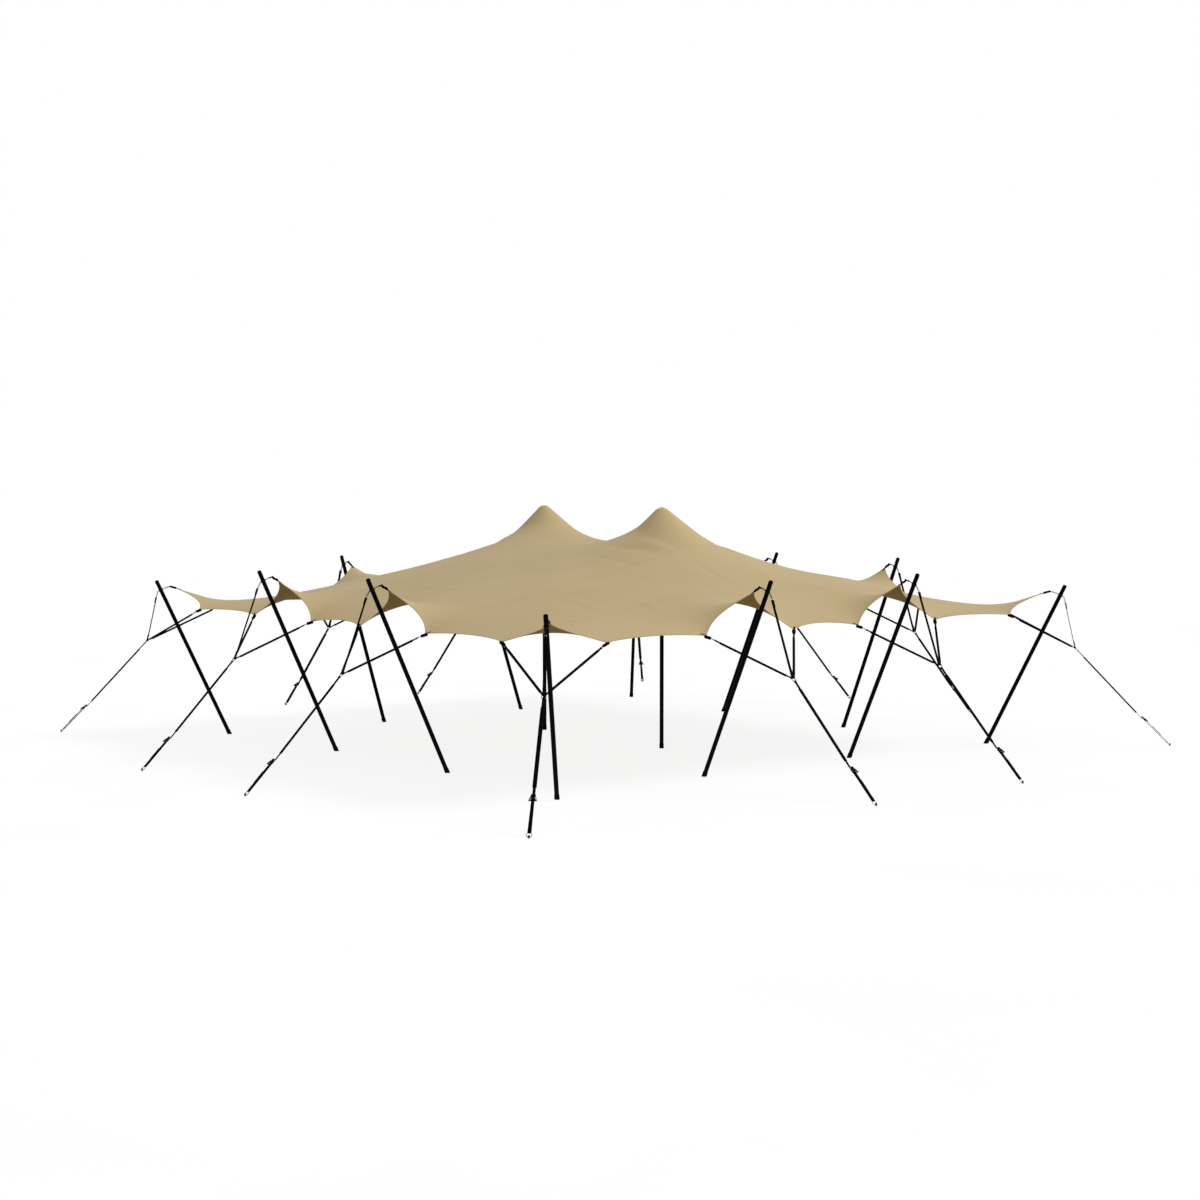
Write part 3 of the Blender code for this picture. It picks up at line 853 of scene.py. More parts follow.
@dataclass(frozen=True)
class Loop:
    """The end of a strap that turns round a wire and lies back on itself.

    The pull is the way from the wire along the strap, and the face is square to the strap. The
    radius is from the wire's middle to the strap's, the lap is how far the end lies back, and the
    gap is between the middles of the two layers.
    """

    wire: Vector
    pull: Vector
    face: Vector
    radius: float
    lap: float
    gap: float
    throat: float = 2.4
    waist: float = 0.2

    def path(self) -> list[Vector]:
        """Draws the strap's centre line.

        Returns:
            Its points, from the loose end round the wire to the single strap.
        """
        wire, pull, half = self.wire, self.pull, self.face * self.gap / 2
        throat = self.radius * self.throat
        waist = self.face * (self.gap / 2 + self.radius * self.waist)
        backs = [self.lap - self.lap * k / 6 for k in range(5)]
        path = [wire + pull * back + half for back in backs if back > throat]
        path.append(wire + pull * throat + waist)
        for cosine, sine in arc(12, QUARTER, math.pi):
            path.append(wire + pull * (cosine * self.radius) + self.face * (sine * self.radius))
        path.append(wire + pull * throat - waist)
        return path + [wire + pull * (throat * 1.6) - half, wire + pull * self.lap - half]


@dataclass(frozen=True)
class Sewing:
    """Sewn lines gathered while straps are laid."""

    rows: list[SewnLine]
    margin: float = 0.003

    def patch(
        self, start: Vector, along: Vector, side: Vector, rise: Vector, long: float, wide: float
    ) -> None:
        """Sews a rectangle with a cross in it.

        Args:
            start: the middle of its near edge.
            along: the way along the strap.
            side: the way across it.
            rise: the way out of its face.
            long: its length.
            wide: its width.
        """
        corners = [start - side * wide / 2, start + side * wide / 2]
        corners += [corners[1] + along * long, corners[0] + along * long]
        runs = [[*corners, corners[0]], [corners[0], corners[2]], [corners[1], corners[3]]]
        self.rows.extend((run, [rise] * len(run)) for run in runs)

    def lap(self, loop: Loop, strap: Webbing, throat: float) -> None:
        """Sews a looped end, on both faces.

        Args:
            loop: the end.
            strap: the strap.
            throat: from the wire to where the sewing starts.
        """
        side = loop.pull.cross(loop.face).normalized()
        lift = loop.gap / 2 + strap.thickness / 2 + THREAD_LIFT
        long, wide = loop.lap - throat - self.margin, strap.width - 2 * self.margin
        for sign in (1, -1):
            start = loop.wire + loop.pull * throat + loop.face * (sign * lift)
            self.patch(start, loop.pull, side, loop.face * sign, long, wide)

    def down(self, path: list[Vector], side: Vector, strap: Webbing) -> None:
        """Sews a strap down along its path: both edges, both ends and one cross.

        Args:
            path: the strap's centre line.
            side: the way across it.
            strap: the strap.
        """
        along = (path[-1] - path[0]).normalized()
        side = (side - along * side.dot(along)).normalized()
        rise = side.cross(along).normalized()
        rise = rise if rise.z > 0 else -rise
        lift = rise * (strap.thickness / 2 + THREAD_LIFT)
        half = side * (strap.width / 2 - self.margin)
        left, right = [p - half + lift for p in path], [p + half + lift for p in path]
        ends = [[left[a], right[b]] for a, b in ((0, 0), (-1, -1), (0, -1))]
        for run in (left, right, *ends, [right[0], left[-1]]):
            self.rows.append((run, [rise] * len(run)))


class TreeBench(NodeBench):
    """One geometry tree with named inputs, baked onto a draft object."""

    prefix = "GeometryNode"

    def __init__(self, name: str, sizes: dict[str, float]) -> None:
        """Starts a tree.

        Args:
            name: the tree's name.
            sizes: its number inputs and their usual values.
        """
        super().__init__(bpy.data.node_groups.new(name, "GeometryNodeTree"))
        face = self.tree.interface
        face.new_socket("Geometry", in_out="INPUT", socket_type="NodeSocketGeometry")
        for size, value in sizes.items():
            face.new_socket(size, in_out="INPUT", socket_type="NodeSocketFloat").default_value = value
        face.new_socket("Finish", in_out="INPUT", socket_type="NodeSocketMaterial")
        face.new_socket("Geometry", in_out="OUTPUT", socket_type="NodeSocketGeometry")
        self.given = self.node("NodeGroupInput").outputs

    def attribute(self, name: str) -> Socket:
        """A vector kept on the points of the draft."""
        return self.node("InputNamedAttribute", {"Name": name}, data_type="FLOAT_VECTOR").outputs["Attribute"]

    def aim(self, main: Socket, other: Socket) -> Socket:
        """Makes a turn from two vectors.

        Args:
            main: what X is taken along.
            other: what Z is then taken near.

        Returns:
            The turn's socket.
        """
        first = self.add("FunctionNodeAlignRotationToVector", {"Vector": main}, axis="X")
        inputs = {"Rotation": first, "Vector": other}
        return self.add("FunctionNodeAlignRotationToVector", inputs, axis="Z", pivot_axis="X")

    def swept(self, curve: Socket, section: Socket, capped: bool = False) -> Socket:
        """A section carried along a curve."""
        return self.add("CurveToMesh", {"Curve": curve, "Profile Curve": section, "Fill Caps": capped})

    def close(self, geometry: Socket) -> None:
        """Ends the tree: instances become real, smooth and finished.

        Args:
            geometry: what the tree has made.
        """
        real = self.add("RealizeInstances", {"Geometry": geometry})
        smooth = self.add("SetShadeSmooth", {"Geometry": real})
        done = self.add("SetMaterial", {"Geometry": smooth, "Material": self.given["Finish"]})
        self.node("NodeGroupOutput", {0: done})

    def bake(
        self, name: str, start: Mesh, finish: Material, sizes: dict[str, float], sharp: bool = True
    ) -> Mesh:
        """Runs the tree on a mesh.

        Args:
            name: the new mesh's name.
            start: what the tree is given.
            finish: the material of what it makes.
            sizes: values of the named inputs, where they aren't the usual ones.
            sharp: whether its edges stay sharp where they turn by a large angle.

        Returns:
            A plain mesh.
        """
        holder = bpy.data.objects.new(name, start)
        bpy.context.scene.collection.objects.link(holder)
        modifier = holder.modifiers.new("tree", "NODES")
        modifier.node_group = self.tree
        values = {**sizes, "Finish": finish}
        for item in self.tree.interface.items_tree:
            if item.in_out == "INPUT" and item.name in values:
                modifier[item.identifier] = values[item.name]
        graph = bpy.context.evaluated_depsgraph_get()
        made = bpy.data.meshes.new_from_object(holder.evaluated_get(graph))
        bpy.data.objects.remove(holder, do_unlink=True)
        made.name = name
        if sharp:
            made.set_sharp_from_angle(angle=SHARP_ANGLE)
        return made


def draft_mesh(name: str, points: list[Vector], edges: list[tuple[int, int]], **kept: list[Vector]) -> Mesh:
    """Makes the draft that a tree is given.

    Args:
        name: the mesh's name.
        points: its points.
        edges: the numbers of each edge's two points.
        kept: vectors kept on the points, by the attribute's name.

    Returns:
        The mesh.
    """
    made = bpy.data.meshes.new(name)
    made.from_pydata(points, edges, [])
    for label, vectors in kept.items():
        values = np.array(vectors, np.float32).ravel()
        made.attributes.new(label, "FLOAT_VECTOR", "POINT").data.foreach_set("vector", values)
    return made


class StitchTree(TreeBench):
    """Stitches along sewn lines, each a short raised thread."""

    def __init__(self) -> None:
        """Builds the tree."""
        sizes = {"Pitch": 0.008, "Length": 0.006, "Width": 0.0011, "Height": 0.0009, "Seed": 3.0}
        super().__init__("stitches", sizes)
        lines = self.add("MeshToCurve", {"Mesh": self.given["Geometry"]})
        spaced = self.add("ResampleCurve", {"Curve": lines, "Length": self.given["Pitch"]}, mode="LENGTH")
        turn = self.aim(self.add("InputTangent"), self.attribute("rise"))
        chance = {2: 0.88, 3: 1.1, "Seed": self.given["Seed"]}
        uneven = self.node("FunctionNodeRandomValue", chance, data_type="FLOAT").outputs[1]
        long = self.maths("MULTIPLY", self.given["Length"], uneven)
        block = self.add("MeshCube", {"Size": (1.0, 1.0, 1.0)})
        size = {"X": long, "Y": self.given["Width"], "Z": self.given["Height"]}
        scale = self.add("ShaderNodeCombineXYZ", size)
        inputs = {"Points": spaced, "Instance": block, "Rotation": turn, "Scale": scale}
        self.close(self.add("InstanceOnPoints", inputs))

    @staticmethod
    def lines(rows: list[SewnLine]) -> Mesh:
        """Makes the draft of sewn lines.

        Args:
            rows: each line's points, and the way out of the cloth at each of them.

        Returns:
            A mesh of edges.
        """
        points, edges, rises = [], [], []
        for path, ups in rows:
            edges += [(len(points) + k, len(points) + k + 1) for k in range(len(path) - 1)]
            points += path
            rises += ups
        return draft_mesh("sewn_lines", points, edges, rise=rises)

    def sew(self, name: str, rows: list[SewnLine], thread: Material, **sizes: float) -> Mesh:
        """Bakes stitches along sewn lines in that thread, with sizes where they aren't the usual ones."""
        return self.bake(name, self.lines(rows), thread, sizes, False)


class LinkTree(TreeBench):
    """Oval links of round wire, one at each point of the draft."""

    def __init__(self) -> None:
        """Builds the tree."""
        super().__init__("links", {"Length": 0.036, "Width": 0.02, "Wire": 0.003})
        sides = {"Width": self.given["Length"], "Height": self.given["Width"]}
        oval = self.add("CurvePrimitiveQuadrilateral", sides)
        half = self.maths("MULTIPLY", self.given["Width"], 0.499)
        corners = {"Curve": oval, "Radius": half, "Count": 7, "Limit Radius": True}
        soft = self.add("FilletCurve", corners, mode="POLY")
        wire = self.add("CurvePrimitiveCircle", {"Resolution": 10, "Radius": self.given["Wire"]})
        turn = self.aim(self.attribute("way"), self.attribute("axis"))
        inputs = {"Points": self.given["Geometry"], "Instance": self.swept(soft, wire), "Rotation": turn}
        self.close(self.add("InstanceOnPoints", inputs))


class GearTree(TreeBench):
    """A toothed wheel: a rim whose points rise and fall, filled and thickened."""

    def __init__(self) -> None:
        """Builds the tree."""
        super().__init__("gear", {"Teeth": 13.0, "Root": 0.0145, "Tip": 0.0195, "Thickness": 0.0036})
        count = self.maths("MULTIPLY", self.given["Teeth"], 4.0)
        rim = self.add("CurvePrimitiveCircle", {"Resolution": count, "Radius": 1.0})
        high = self.maths("GREATER_THAN", self.maths("MODULO", self.add("InputIndex"), 4.0), 1.5)
        between = {"Value": high, "To Min": self.given["Root"], "To Max": self.given["Tip"]}
        reach = self.add("ShaderNodeMapRange", between)
        place = {0: self.add("InputPosition"), "Scale": reach}
        moved = self.add("ShaderNodeVectorMath", place, operation="SCALE")
        toothed = self.add("SetPosition", {"Geometry": rim, "Position": moved})
        face = self.add("FillCurve", {"Curve": toothed}, mode="NGONS")
        offset = {"Mesh": face, "Offset Scale": self.given["Thickness"], "Individual": False}
        thick = self.add("ExtrudeMesh", offset)
        both = self.add("JoinGeometry", {"Geometry": [thick, self.add("FlipFaces", {"Mesh": face})]})
        self.close(self.add("MergeByDistance", {"Geometry": both, "Distance": 0.00005}))


class CordTree(TreeBench):
    """A round cord along the edges of the draft."""

    def __init__(self) -> None:
        """Builds the tree."""
        super().__init__("hem_cord", {"Radius": 0.0045})
        line = self.add("MeshToCurve", {"Mesh": self.given["Geometry"]})
        wire = self.add("CurvePrimitiveCircle", {"Resolution": 8, "Radius": self.given["Radius"]})
        self.close(self.swept(line, wire))


class TapeTree(TreeBench):
    """A flat seam tape along the edges of the draft, lying on the cloth."""

    def __init__(self) -> None:
        """Builds the tree."""
        super().__init__("seam_tape", {"Width": 0.024, "Thickness": 0.0007})
        line = self.add("MeshToCurve", {"Mesh": self.given["Geometry"]})
        laid = self.add("SetCurveNormal", {"Curve": line, "Normal": self.attribute("rise")}, mode="FREE")
        sides = {"Width": self.given["Thickness"], "Height": self.given["Width"]}
        self.close(self.swept(laid, self.add("CurvePrimitiveQuadrilateral", sides), True))


def show(name: str, mesh: Mesh, slot: Slot, body: str, *nodes: str) -> bpy.types.Object:
    """Puts a finished mesh into the scene.

    Args:
        name: the piece's name.
        mesh: its mesh, at its place.
        slot: the record's material slot; not used.
        body: the body that it moves with.
        nodes: the nodes that it stands for.

    Returns:
        The piece.
    """
    piece = bpy.data.objects.new(name, mesh)
    bpy.context.scene.collection.objects.link(piece)
    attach(piece, body)
    if nodes:
        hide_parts(*nodes)
    LOG.info("%s: %d faces", name, len(mesh.polygons))
    return piece


@dataclass(frozen=True)
class Piece:
    """A mesh in a plan's frame, shown at every station of that plan."""

    label: str
    mesh: Mesh
    slot: Slot
    part: str
    body: str = "tent"

    def stamp(self, station: Station) -> None:
        """Shows a copy of the mesh.

        Args:
            station: where it goes.
        """
        mesh = self.mesh.copy()
        mesh.transform(station.place())
        body = station.node(self.body) if self.body == "handle" else self.body
        node = station.node(self.part)
        show(node + self.label, mesh, self.slot, body, node)


@dataclass(frozen=True)
class Fold:
    """A soft ridge or dip of the cloth along a line, which fades out at its ends."""

    start: Pair
    end: Pair
    height: float
    width: float
    bow: float = 0.0
    fade: float = 1.3
    groove: float = 0.35
    groove_width: float = 2.2

    def lift(self, plan: np.ndarray) -> np.ndarray:
        """How far the fold moves each point.

        Args:
            plan: (x, y) of the points.

        Returns:
            Heights, above or below the cloth without it.
        """
        start, end = np.array(self.start), np.array(self.end)
        long = np.linalg.norm(end - start)
        along = (end - start) / long
        rest = plan - start
        share = np.clip((rest @ along) / long, 0.0, 1.0)
        aside = rest @ np.array([-along[1], along[0]]) - self.bow * 4 * share * (1 - share)
        aside = aside / self.width
        ridge = np.exp(-(aside**2) / 2) - self.groove * np.exp(-((aside / self.groove_width) ** 2) / 2)
        return self.height * np.sin(np.pi * share) ** self.fade * ridge


@dataclass(frozen=True)
class Swell:
    """A wide, soft rise or dip of the cloth round one point."""

    middle: Pair
    height: float
    spread: float

    def lift(self, plan: np.ndarray) -> np.ndarray:
        """How far the swell moves each point of the plan, up or down."""
        aside = plan - np.array(self.middle)
        return self.height * np.exp(-(aside**2).sum(axis=-1) / (2 * self.spread**2))


@dataclass(frozen=True)
class Crown:
    """The rounded top of the cloth over a king pole's head, gentler on one side."""

    king: str
    radius: float
    slope: float
    lean: float
    gentle_side: float = 50.45
    rise: float = 0.0353
    ease: float = 0.003
    ease_growth: float = 0.05

    def over(self, surface: np.ndarray) -> np.ndarray:
        """The cloth's heights where it can't go lower than the crown.

        Args:
            surface: the grid.

        Returns:
            Its heights, eased into the crown.
        """
        low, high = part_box(self.king)
        x = surface[..., 0] - (low.x + high.x) / 2
        y = surface[..., 1] - (low.y + high.y) / 2
        slope = self.slope - self.lean * np.cos(np.arctan2(y, x) - math.radians(self.gentle_side))
        aside = np.hypot(x, y)
        near = np.minimum(aside, self.radius * slope / np.sqrt(1 + slope * slope))
        crown = high.z + self.rise - self.radius + np.sqrt(self.radius**2 - near * near)
        crown = crown - slope * (aside - near)
        above = surface[..., 2] - crown
        return crown + (above + np.sqrt(above * above + (self.ease + self.ease_growth * aside) ** 2)) / 2


@dataclass(frozen=True)
class ClothNet:
    """The cloth as a net in balance between its tips and ears, pushed up by two king poles."""

    plan: TentPlan
    steps: int
    peak: float = 3.67
    saddle: float = 3.12
    edge_pull: float = 3.0
    short_edge_pull: float = 0.55
    short_edges: tuple[tuple[int, int], ...] = ((1, 3), (5, 6), (-3, -1), (-6, -5))
    lift_spreads: tuple[float, ...] = (0.06, 0.25, 2.6)
    lift_shares: tuple[float, ...] = (0.46, 0.30, 0.24)
    saddle_spread: float = 0.45
    gather_spread: float = 1.2
    half_stations: int = 6
    king_station: int = 2
    closeness: float = 1e-13

    def held(self) -> dict[tuple[int, int], Triple]:
        """Lists the tips and ears.

        Returns:
            Where each is, by its two station numbers on the net.
        """
        plan, corner = self.plan, self.half_stations
        signs = ((-1, -1), (-1, 1), (1, -1), (1, 1))
        found = {}
        for a, b in signs:
            tip = (a * plan.corner_tip, b * plan.corner_tip, plan.corner_tip_height)
            found[(a * corner, b * corner)] = tip
        along_edge = (
            (1, plan.along - plan.ear_reach, plan.ear_out, plan.ear_height),
            (2, plan.along, *plan.edge_tip),
            (3, plan.along + plan.ear_reach, plan.ear_out, plan.ear_height),
            (5, plan.corner_ear, plan.ear_out, plan.ear_height),
        )
        for side, hand in signs:
            for index, along, out, height in along_edge:
                found[(hand * index, side * corner)] = (hand * along, side * out, height)
                found[(side * corner, hand * index)] = (side * out, hand * along, height)
        return found

    def pulls(self, count: int) -> np.ndarray:
        """How hard each piece of cord along one way of the net pulls.

        Args:
            count: the number of points along a side.

        Returns:
            The pulls, the same but for the edges, where the hem's cord runs.
        """
        rows = np.ones((count - 1, count))
        rows[:, 0] = rows[:, -1] = 0.5 + self.edge_pull * self.steps
        for near, far in self.short_edges:
            cells = slice((near + self.half_stations) * self.steps, (far + self.half_stations) * self.steps)
            rows[cells, 0] = rows[cells, -1] = 0.5 + self.short_edge_pull * self.steps
        return rows

    def balance(self, free: np.ndarray, load: np.ndarray, start: np.ndarray) -> np.ndarray:
        """Finds where the pulls of the net balance a load, by conjugate gradients.

        Args:
            free: 1 for a point that may move and 0 for a held one.
            load: the load on each point.
            start: where the points start, and where the held ones stay.

        Returns:
            Where they come to rest.
        """
        count = len(start)
        rows = self.pulls(count)
        columns = rows.T

        def pull(position: np.ndarray) -> np.ndarray:
            """The net's pull on each free point.

            Args:
                position: where the points are.

            Returns:
                The pulls.
            """
            total = np.zeros_like(position)
            along = rows[..., None] * (position[1:] - position[:-1])
            total[1:] += along
            total[:-1] -= along
            across = columns[..., None] * (position[:, 1:] - position[:, :-1])
            total[:, 1:] += across
            total[:, :-1] -= across
            return total * free

        weight = np.zeros((count, count))
        weight[1:] += rows
        weight[:-1] += rows
        weight[:, 1:] += columns
        weight[:, :-1] += columns
        weight = weight[..., None]
        position = start.copy()
        rest = load * free - pull(position)
        step = rest / weight
        way = step
        size = (rest * step).sum(axis=(0, 1))
        target = size.max() * self.closeness
        while size.max() > target:
            image = pull(way)
            share = size / np.maximum((way * image).sum(axis=(0, 1)), 1e-300)
            position = position + share * way
            rest = rest - share * image
            step = rest / weight
            renewed = (rest * step).sum(axis=(0, 1))
            way = step + renewed / np.maximum(size, 1e-300) * way
            size = renewed
        return position

    @staticmethod
    def push(surface: np.ndarray, x: float, spread: float) -> np.ndarray:
        """A smooth round push about a point of the X axis."""
        square = (surface[..., 0] - x) ** 2 + surface[..., 1] ** 2
        return np.exp(-square / (2 * spread * spread))

    def surface(self) -> np.ndarray:
        """Finds the net's points.

        Returns:
            A square grid of (x, y, z).
        """
        half = self.half_stations * self.steps
        count = 2 * half + 1
        free = np.ones((count, count, 1))
        start = np.zeros((count, count, 3))
        for (i, j), point in self.held().items():
            start[half + i * self.steps, half + j * self.steps] = point
            free[half + i * self.steps, half + j * self.steps] = 0.0
        surface = self.balance(free, np.zeros_like(start), start)
        king, along = half + self.king_station * self.steps, self.plan.along
        gather = self.push(surface, along, self.gather_spread)
        gather = gather - self.push(surface, -along, self.gather_spread)
        gather = self.balance(free, gather[..., None], np.zeros_like(gather[..., None]))[..., 0]
        surface[..., 0] += gather * (along - surface[king, half, 0]) / gather[king, half]
        pushes = [self.push(surface, -along, s) + self.push(surface, along, s) for s in self.lift_spreads]
        pushes = np.stack([*pushes, self.push(surface, 0.0, self.saddle_spread)], axis=-1)
        rises = self.balance(free, pushes, np.zeros_like(pushes))
        lift = sum(s * rises[..., k] / rises[king, half, k] for k, s in enumerate(self.lift_shares))
        dip = rises[..., -1]
        known = np.array([[lift[king, half], dip[king, half]], [lift[half, half], dip[half, half]]])
        wanted = (self.peak - surface[king, half, 2], self.saddle - surface[half, half, 2])
        shares = np.linalg.solve(known, wanted)
        surface[..., 2] += shares[0] * lift + shares[1] * dip
        return surface


def once_round(grid: np.ndarray) -> np.ndarray:
    """The rim of a grid, once round."""
    return np.concatenate([grid[:-1, 0], grid[-1, :-1], grid[:0:-1, -1], grid[0, :0:-1]])


@dataclass
class Canopy:
    """The tensioned cloth with its hem, seams and folds."""

    plan: TentPlan
    finishes: Finishes
    stitches: StitchTree
    steps: int = 16
    quick_steps: int = 12
    solid_thickness: float = 0.006
    thickness: float = 0.003
    fine_cells: int = 2
    fine_parts: int = 4
    crowns: tuple[Crown, ...] = (Crown(KINGS[0], 0.12, 0.97, 0.085), Crown(KINGS[1], 0.15, 0.9, 0.1))
    swells: tuple[Swell, ...] = (
        Swell((-0.85, 0.72), -0.055, 0.42), Swell((0.6, -0.45), -0.022, 0.35),
        Swell((2.1, 0.8), 0.045, 0.55), Swell((-1.95, -0.6), -0.025, 0.35),
        Swell((-2.0, -2.45), -0.04, 0.42), Swell((-4.45, -1.4), 0.05, 0.2), Swell((2.1, 3.5), 0.04, 0.5),
    )
    quarter_folds: tuple[Fold, ...] = (
        Fold((1.22, -0.93), (2.16, -0.62), -0.026, 0.075, -0.05),
        Fold((1.5, -0.6), (2.35, -0.36), 0.03, 0.075, -0.04),
        Fold((1.3, -1.42), (2.3, -1.25), -0.016, 0.042, 0.06),
        Fold((2.3, -0.33), (3.6, -0.48), -0.014, 0.05, 0.02),
        Fold((2.6, -0.86), (3.05, -0.76), -0.009, 0.04),
        Fold((2.45, -3.0), (3.75, -2.9), 0.011, 0.06, 0.05),
        Fold((0.0, -3.8), (1.25, -2.7), -0.011, 0.055, 0.04),
        Fold((0.2, -3.95), (1.45, -2.85), 0.009, 0.05, 0.03),
        Fold((4.3, -2.35), (3.4, -2.1), 0.011, 0.06, 0.03),
    )
    fold_seed: int = 11
    fold_shift: float = 0.06
    fold_strengths: Pair = (0.4, 0.8)
    hem_inset: float = 0.03
    hem_step: float = 0.004
    hem_rise: float = 0.0011
    sewn_inset: float = 0.022
    cord_radius: float = 0.0042
    seam_columns: tuple[float, ...] = (-4.7, -2.9, -1.0, 1.0, 2.9, 4.7)
    seam_sewing: float = 0.008
    sharp_angle: float = 50.0
    flat_side: float = 10.2
    stretch: float = 1.03

    def folds(self) -> list[Fold]:
        """Sets out the folds.

        Returns:
            Those of one quarter of the cloth, then the same ones mirrored to the others, with
            small changes.
        """
        chance = np.random.default_rng(self.fold_seed)
        found = list(self.quarter_folds)
        for a, b in ((-1, 1), (1, 1), (-1, -1)):
            for fold in self.quarter_folds:
                shift = chance.normal(0.0, self.fold_shift, 4)
                strength = chance.uniform(*self.fold_strengths)
                start = (a * (fold.start[0] + shift[0]), -b * (fold.start[1] + shift[1]))
                end = (a * (fold.end[0] + shift[2]), -b * (fold.end[1] + shift[3]))
                found.append(Fold(start, end, fold.height * strength, fold.width, -a * b * fold.bow))
        return found

    def grid(self) -> np.ndarray:
        """The cloth's middle surface, with its folds and swells, and its crowns over the king poles.

        Returns:
            Rows of (x, y, z, column, row), with the last two in stations from the middle.
        """
        steps = self.steps
        net = ClothNet(self.plan, steps)
        surface = net.surface()
        surface[..., 2] -= self.solid_thickness / 2
        marks = np.linspace(-net.half_stations, net.half_stations, len(surface))
        stations = np.stack(np.meshgrid(marks, marks, indexing="ij"), axis=-1)
        surface = np.concatenate([surface, stations], axis=-1)
        middle = (len(surface) - 1) // 2
        king = net.king_station * steps
        surface = self.refined(surface, 0, (middle - king, middle + king))
        surface = self.refined(surface, 1, (middle,))
        for change in (*self.folds(), *self.swells):
            surface[..., 2] += change.lift(surface[..., :2])
        for crown in self.crowns:
            surface[..., 2] = crown.over(surface)
        return surface

    def refined(self, surface: np.ndarray, axis: int, kings: tuple[int, ...]) -> np.ndarray:
        """Adds lines of the grid on both sides of the king poles, on smooth curves through the others.

        Args:
            surface: the grid.
            axis: 0 for lines across the king line and 1 for lines along it.
            kings: the lines that the king poles are on.

        Returns:
            The grid with the lines in place.
        """
        rows = np.moveaxis(surface, axis, 0)
        found = [rows[0]]
        for k in range(len(rows) - 1):
            if any(-self.fine_cells <= k - king < self.fine_cells for king in kings):
                a, b, c, d = rows[k - 1 : k + 3]
                for part in range(1, self.fine_parts):
                    t = part / self.fine_parts
                    bend = (2 * a - 5 * b + 4 * c - d) * t + (3 * b - a - 3 * c + d) * t * t
                    found.append(b + ((c - a) + bend) * t / 2)
            found.append(rows[k + 1])
        return np.moveaxis(np.array(found), 0, axis)

    def with_hem(self, grid: np.ndarray) -> np.ndarray:
        """Adds the lines of the hem's inner edge just inside each side.

        Args:
            grid: the cloth's middle surface.

        Returns:
            The grid with the lines in place.
        """
        insets = (self.hem_inset, self.hem_inset + self.hem_step)
        for axis in (0, 1):
            grid = np.moveaxis(grid, axis, 0)
            lines = []
            for first, second in ((grid[0], grid[1]), (grid[-1], grid[-2])):
                way = second - first
                long = np.linalg.norm(way[..., :3], axis=-1, keepdims=True)
                share = np.minimum(1.0 / long, 0.8 / insets[1])
                lines.append([first + way * share * inset for inset in insets])
            grid = np.concatenate([grid[:1], lines[0], grid[1:-1], lines[1][::-1], grid[-1:]])
            grid = np.moveaxis(grid, 0, axis)
        return grid

    @staticmethod
    def normals(grid: np.ndarray) -> np.ndarray:
        """The way out of the cloth's upper face at each point."""
        found = np.cross(np.gradient(grid, axis=0), np.gradient(grid, axis=1))
        return found / np.linalg.norm(found, axis=-1, keepdims=True)

    def sheet(self, grid: np.ndarray) -> Mesh:
        """The closed sheet of cloth.

        Args:
            grid: its middle surface, with the hem's lines, and the column and row of each point.

        Returns:
            Its mesh, with the darker underside material below, which is painted shade.
        """
        place = grid[..., :3]
        wide, deep = place.shape[:2]
        rise = np.zeros((wide, deep, 1))
        rise[:2] = rise[-2:] = self.hem_rise
        rise[:, :2] = rise[:, -2:] = self.hem_rise
        out = self.normals(place) * (self.thickness / 2 + rise)
        points = np.concatenate([(place + out).reshape(-1, 3), (place - out).reshape(-1, 3)])
        number = np.arange(wide * deep).reshape(wide, deep)
        a, b, c, d = number[:-1, :-1], number[1:, :-1], number[1:, 1:], number[:-1, 1:]
        upper = np.stack([a, b, c, d], axis=-1).reshape(-1, 4)
        lower = upper[:, [0, 3, 2, 1]] + wide * deep
        loop = once_round(number)
        after = np.roll(loop, -1)
        rim = np.stack([loop, loop + wide * deep, after + wide * deep, after], axis=-1)
        faces = np.concatenate([upper, lower, rim])
        made = bpy.data.meshes.new("canopy_cloth")
        made.vertices.add(len(points))
        made.vertices.foreach_set("co", points.ravel())
        made.loops.add(faces.size)
        made.loops.foreach_set("vertex_index", faces.ravel())
        made.polygons.add(len(faces))
        made.polygons.foreach_set("loop_start", np.arange(0, faces.size, 4))
        made.polygons.foreach_set("material_index", np.repeat([0, 1, 2], [len(upper), len(lower), len(rim)]))
        made.update(calc_edges=True)
        made.validate()
        flat = grid[..., 3:].reshape(-1, 2) * (self.flat_side / np.ptp(grid[..., 3]))
        flat = np.concatenate([flat, flat])[faces.ravel()]
        made.uv_layers.new(name="pattern").data.foreach_set("uv", flat.astype(np.float32).ravel())
        # The lower faces take the darker material, painted shade for the cloth's underside.
        for finish in (self.finishes.cloth, self.finishes.lining, self.finishes.hem):
            made.materials.append(finish)
        made.shade_smooth()
        made.set_sharp_from_angle(angle=math.radians(self.sharp_angle))
        return made

    def sewn_hem(self, grid: np.ndarray, normal: np.ndarray) -> list[SewnLine]:
        """The hem's sewn lines.

        Args:
            grid: the cloth's middle surface, with the hem's lines.
            normal: the way out of its upper face at each point.

        Returns:
            A line along each side, on both faces of the cloth.
        """
        rows = []
        share = self.sewn_inset / self.hem_inset
        rise = self.thickness / 2 + self.hem_rise + THREAD_LIFT
        for face in (1, -1):
            for axis in (0, 1):
                flipped, ways = np.moveaxis(grid, axis, 0), np.moveaxis(normal, axis, 0)
                for first, second in ((0, 1), (-1, -2)):
                    ups = (ways[first] * face)[2:-2]
                    path = (flipped[first] * (1 - share) + flipped[second] * share)[2:-2] + ups * rise
                    rows.append(([Vector(p) for p in path], [Vector(u) for u in ups]))
        return rows

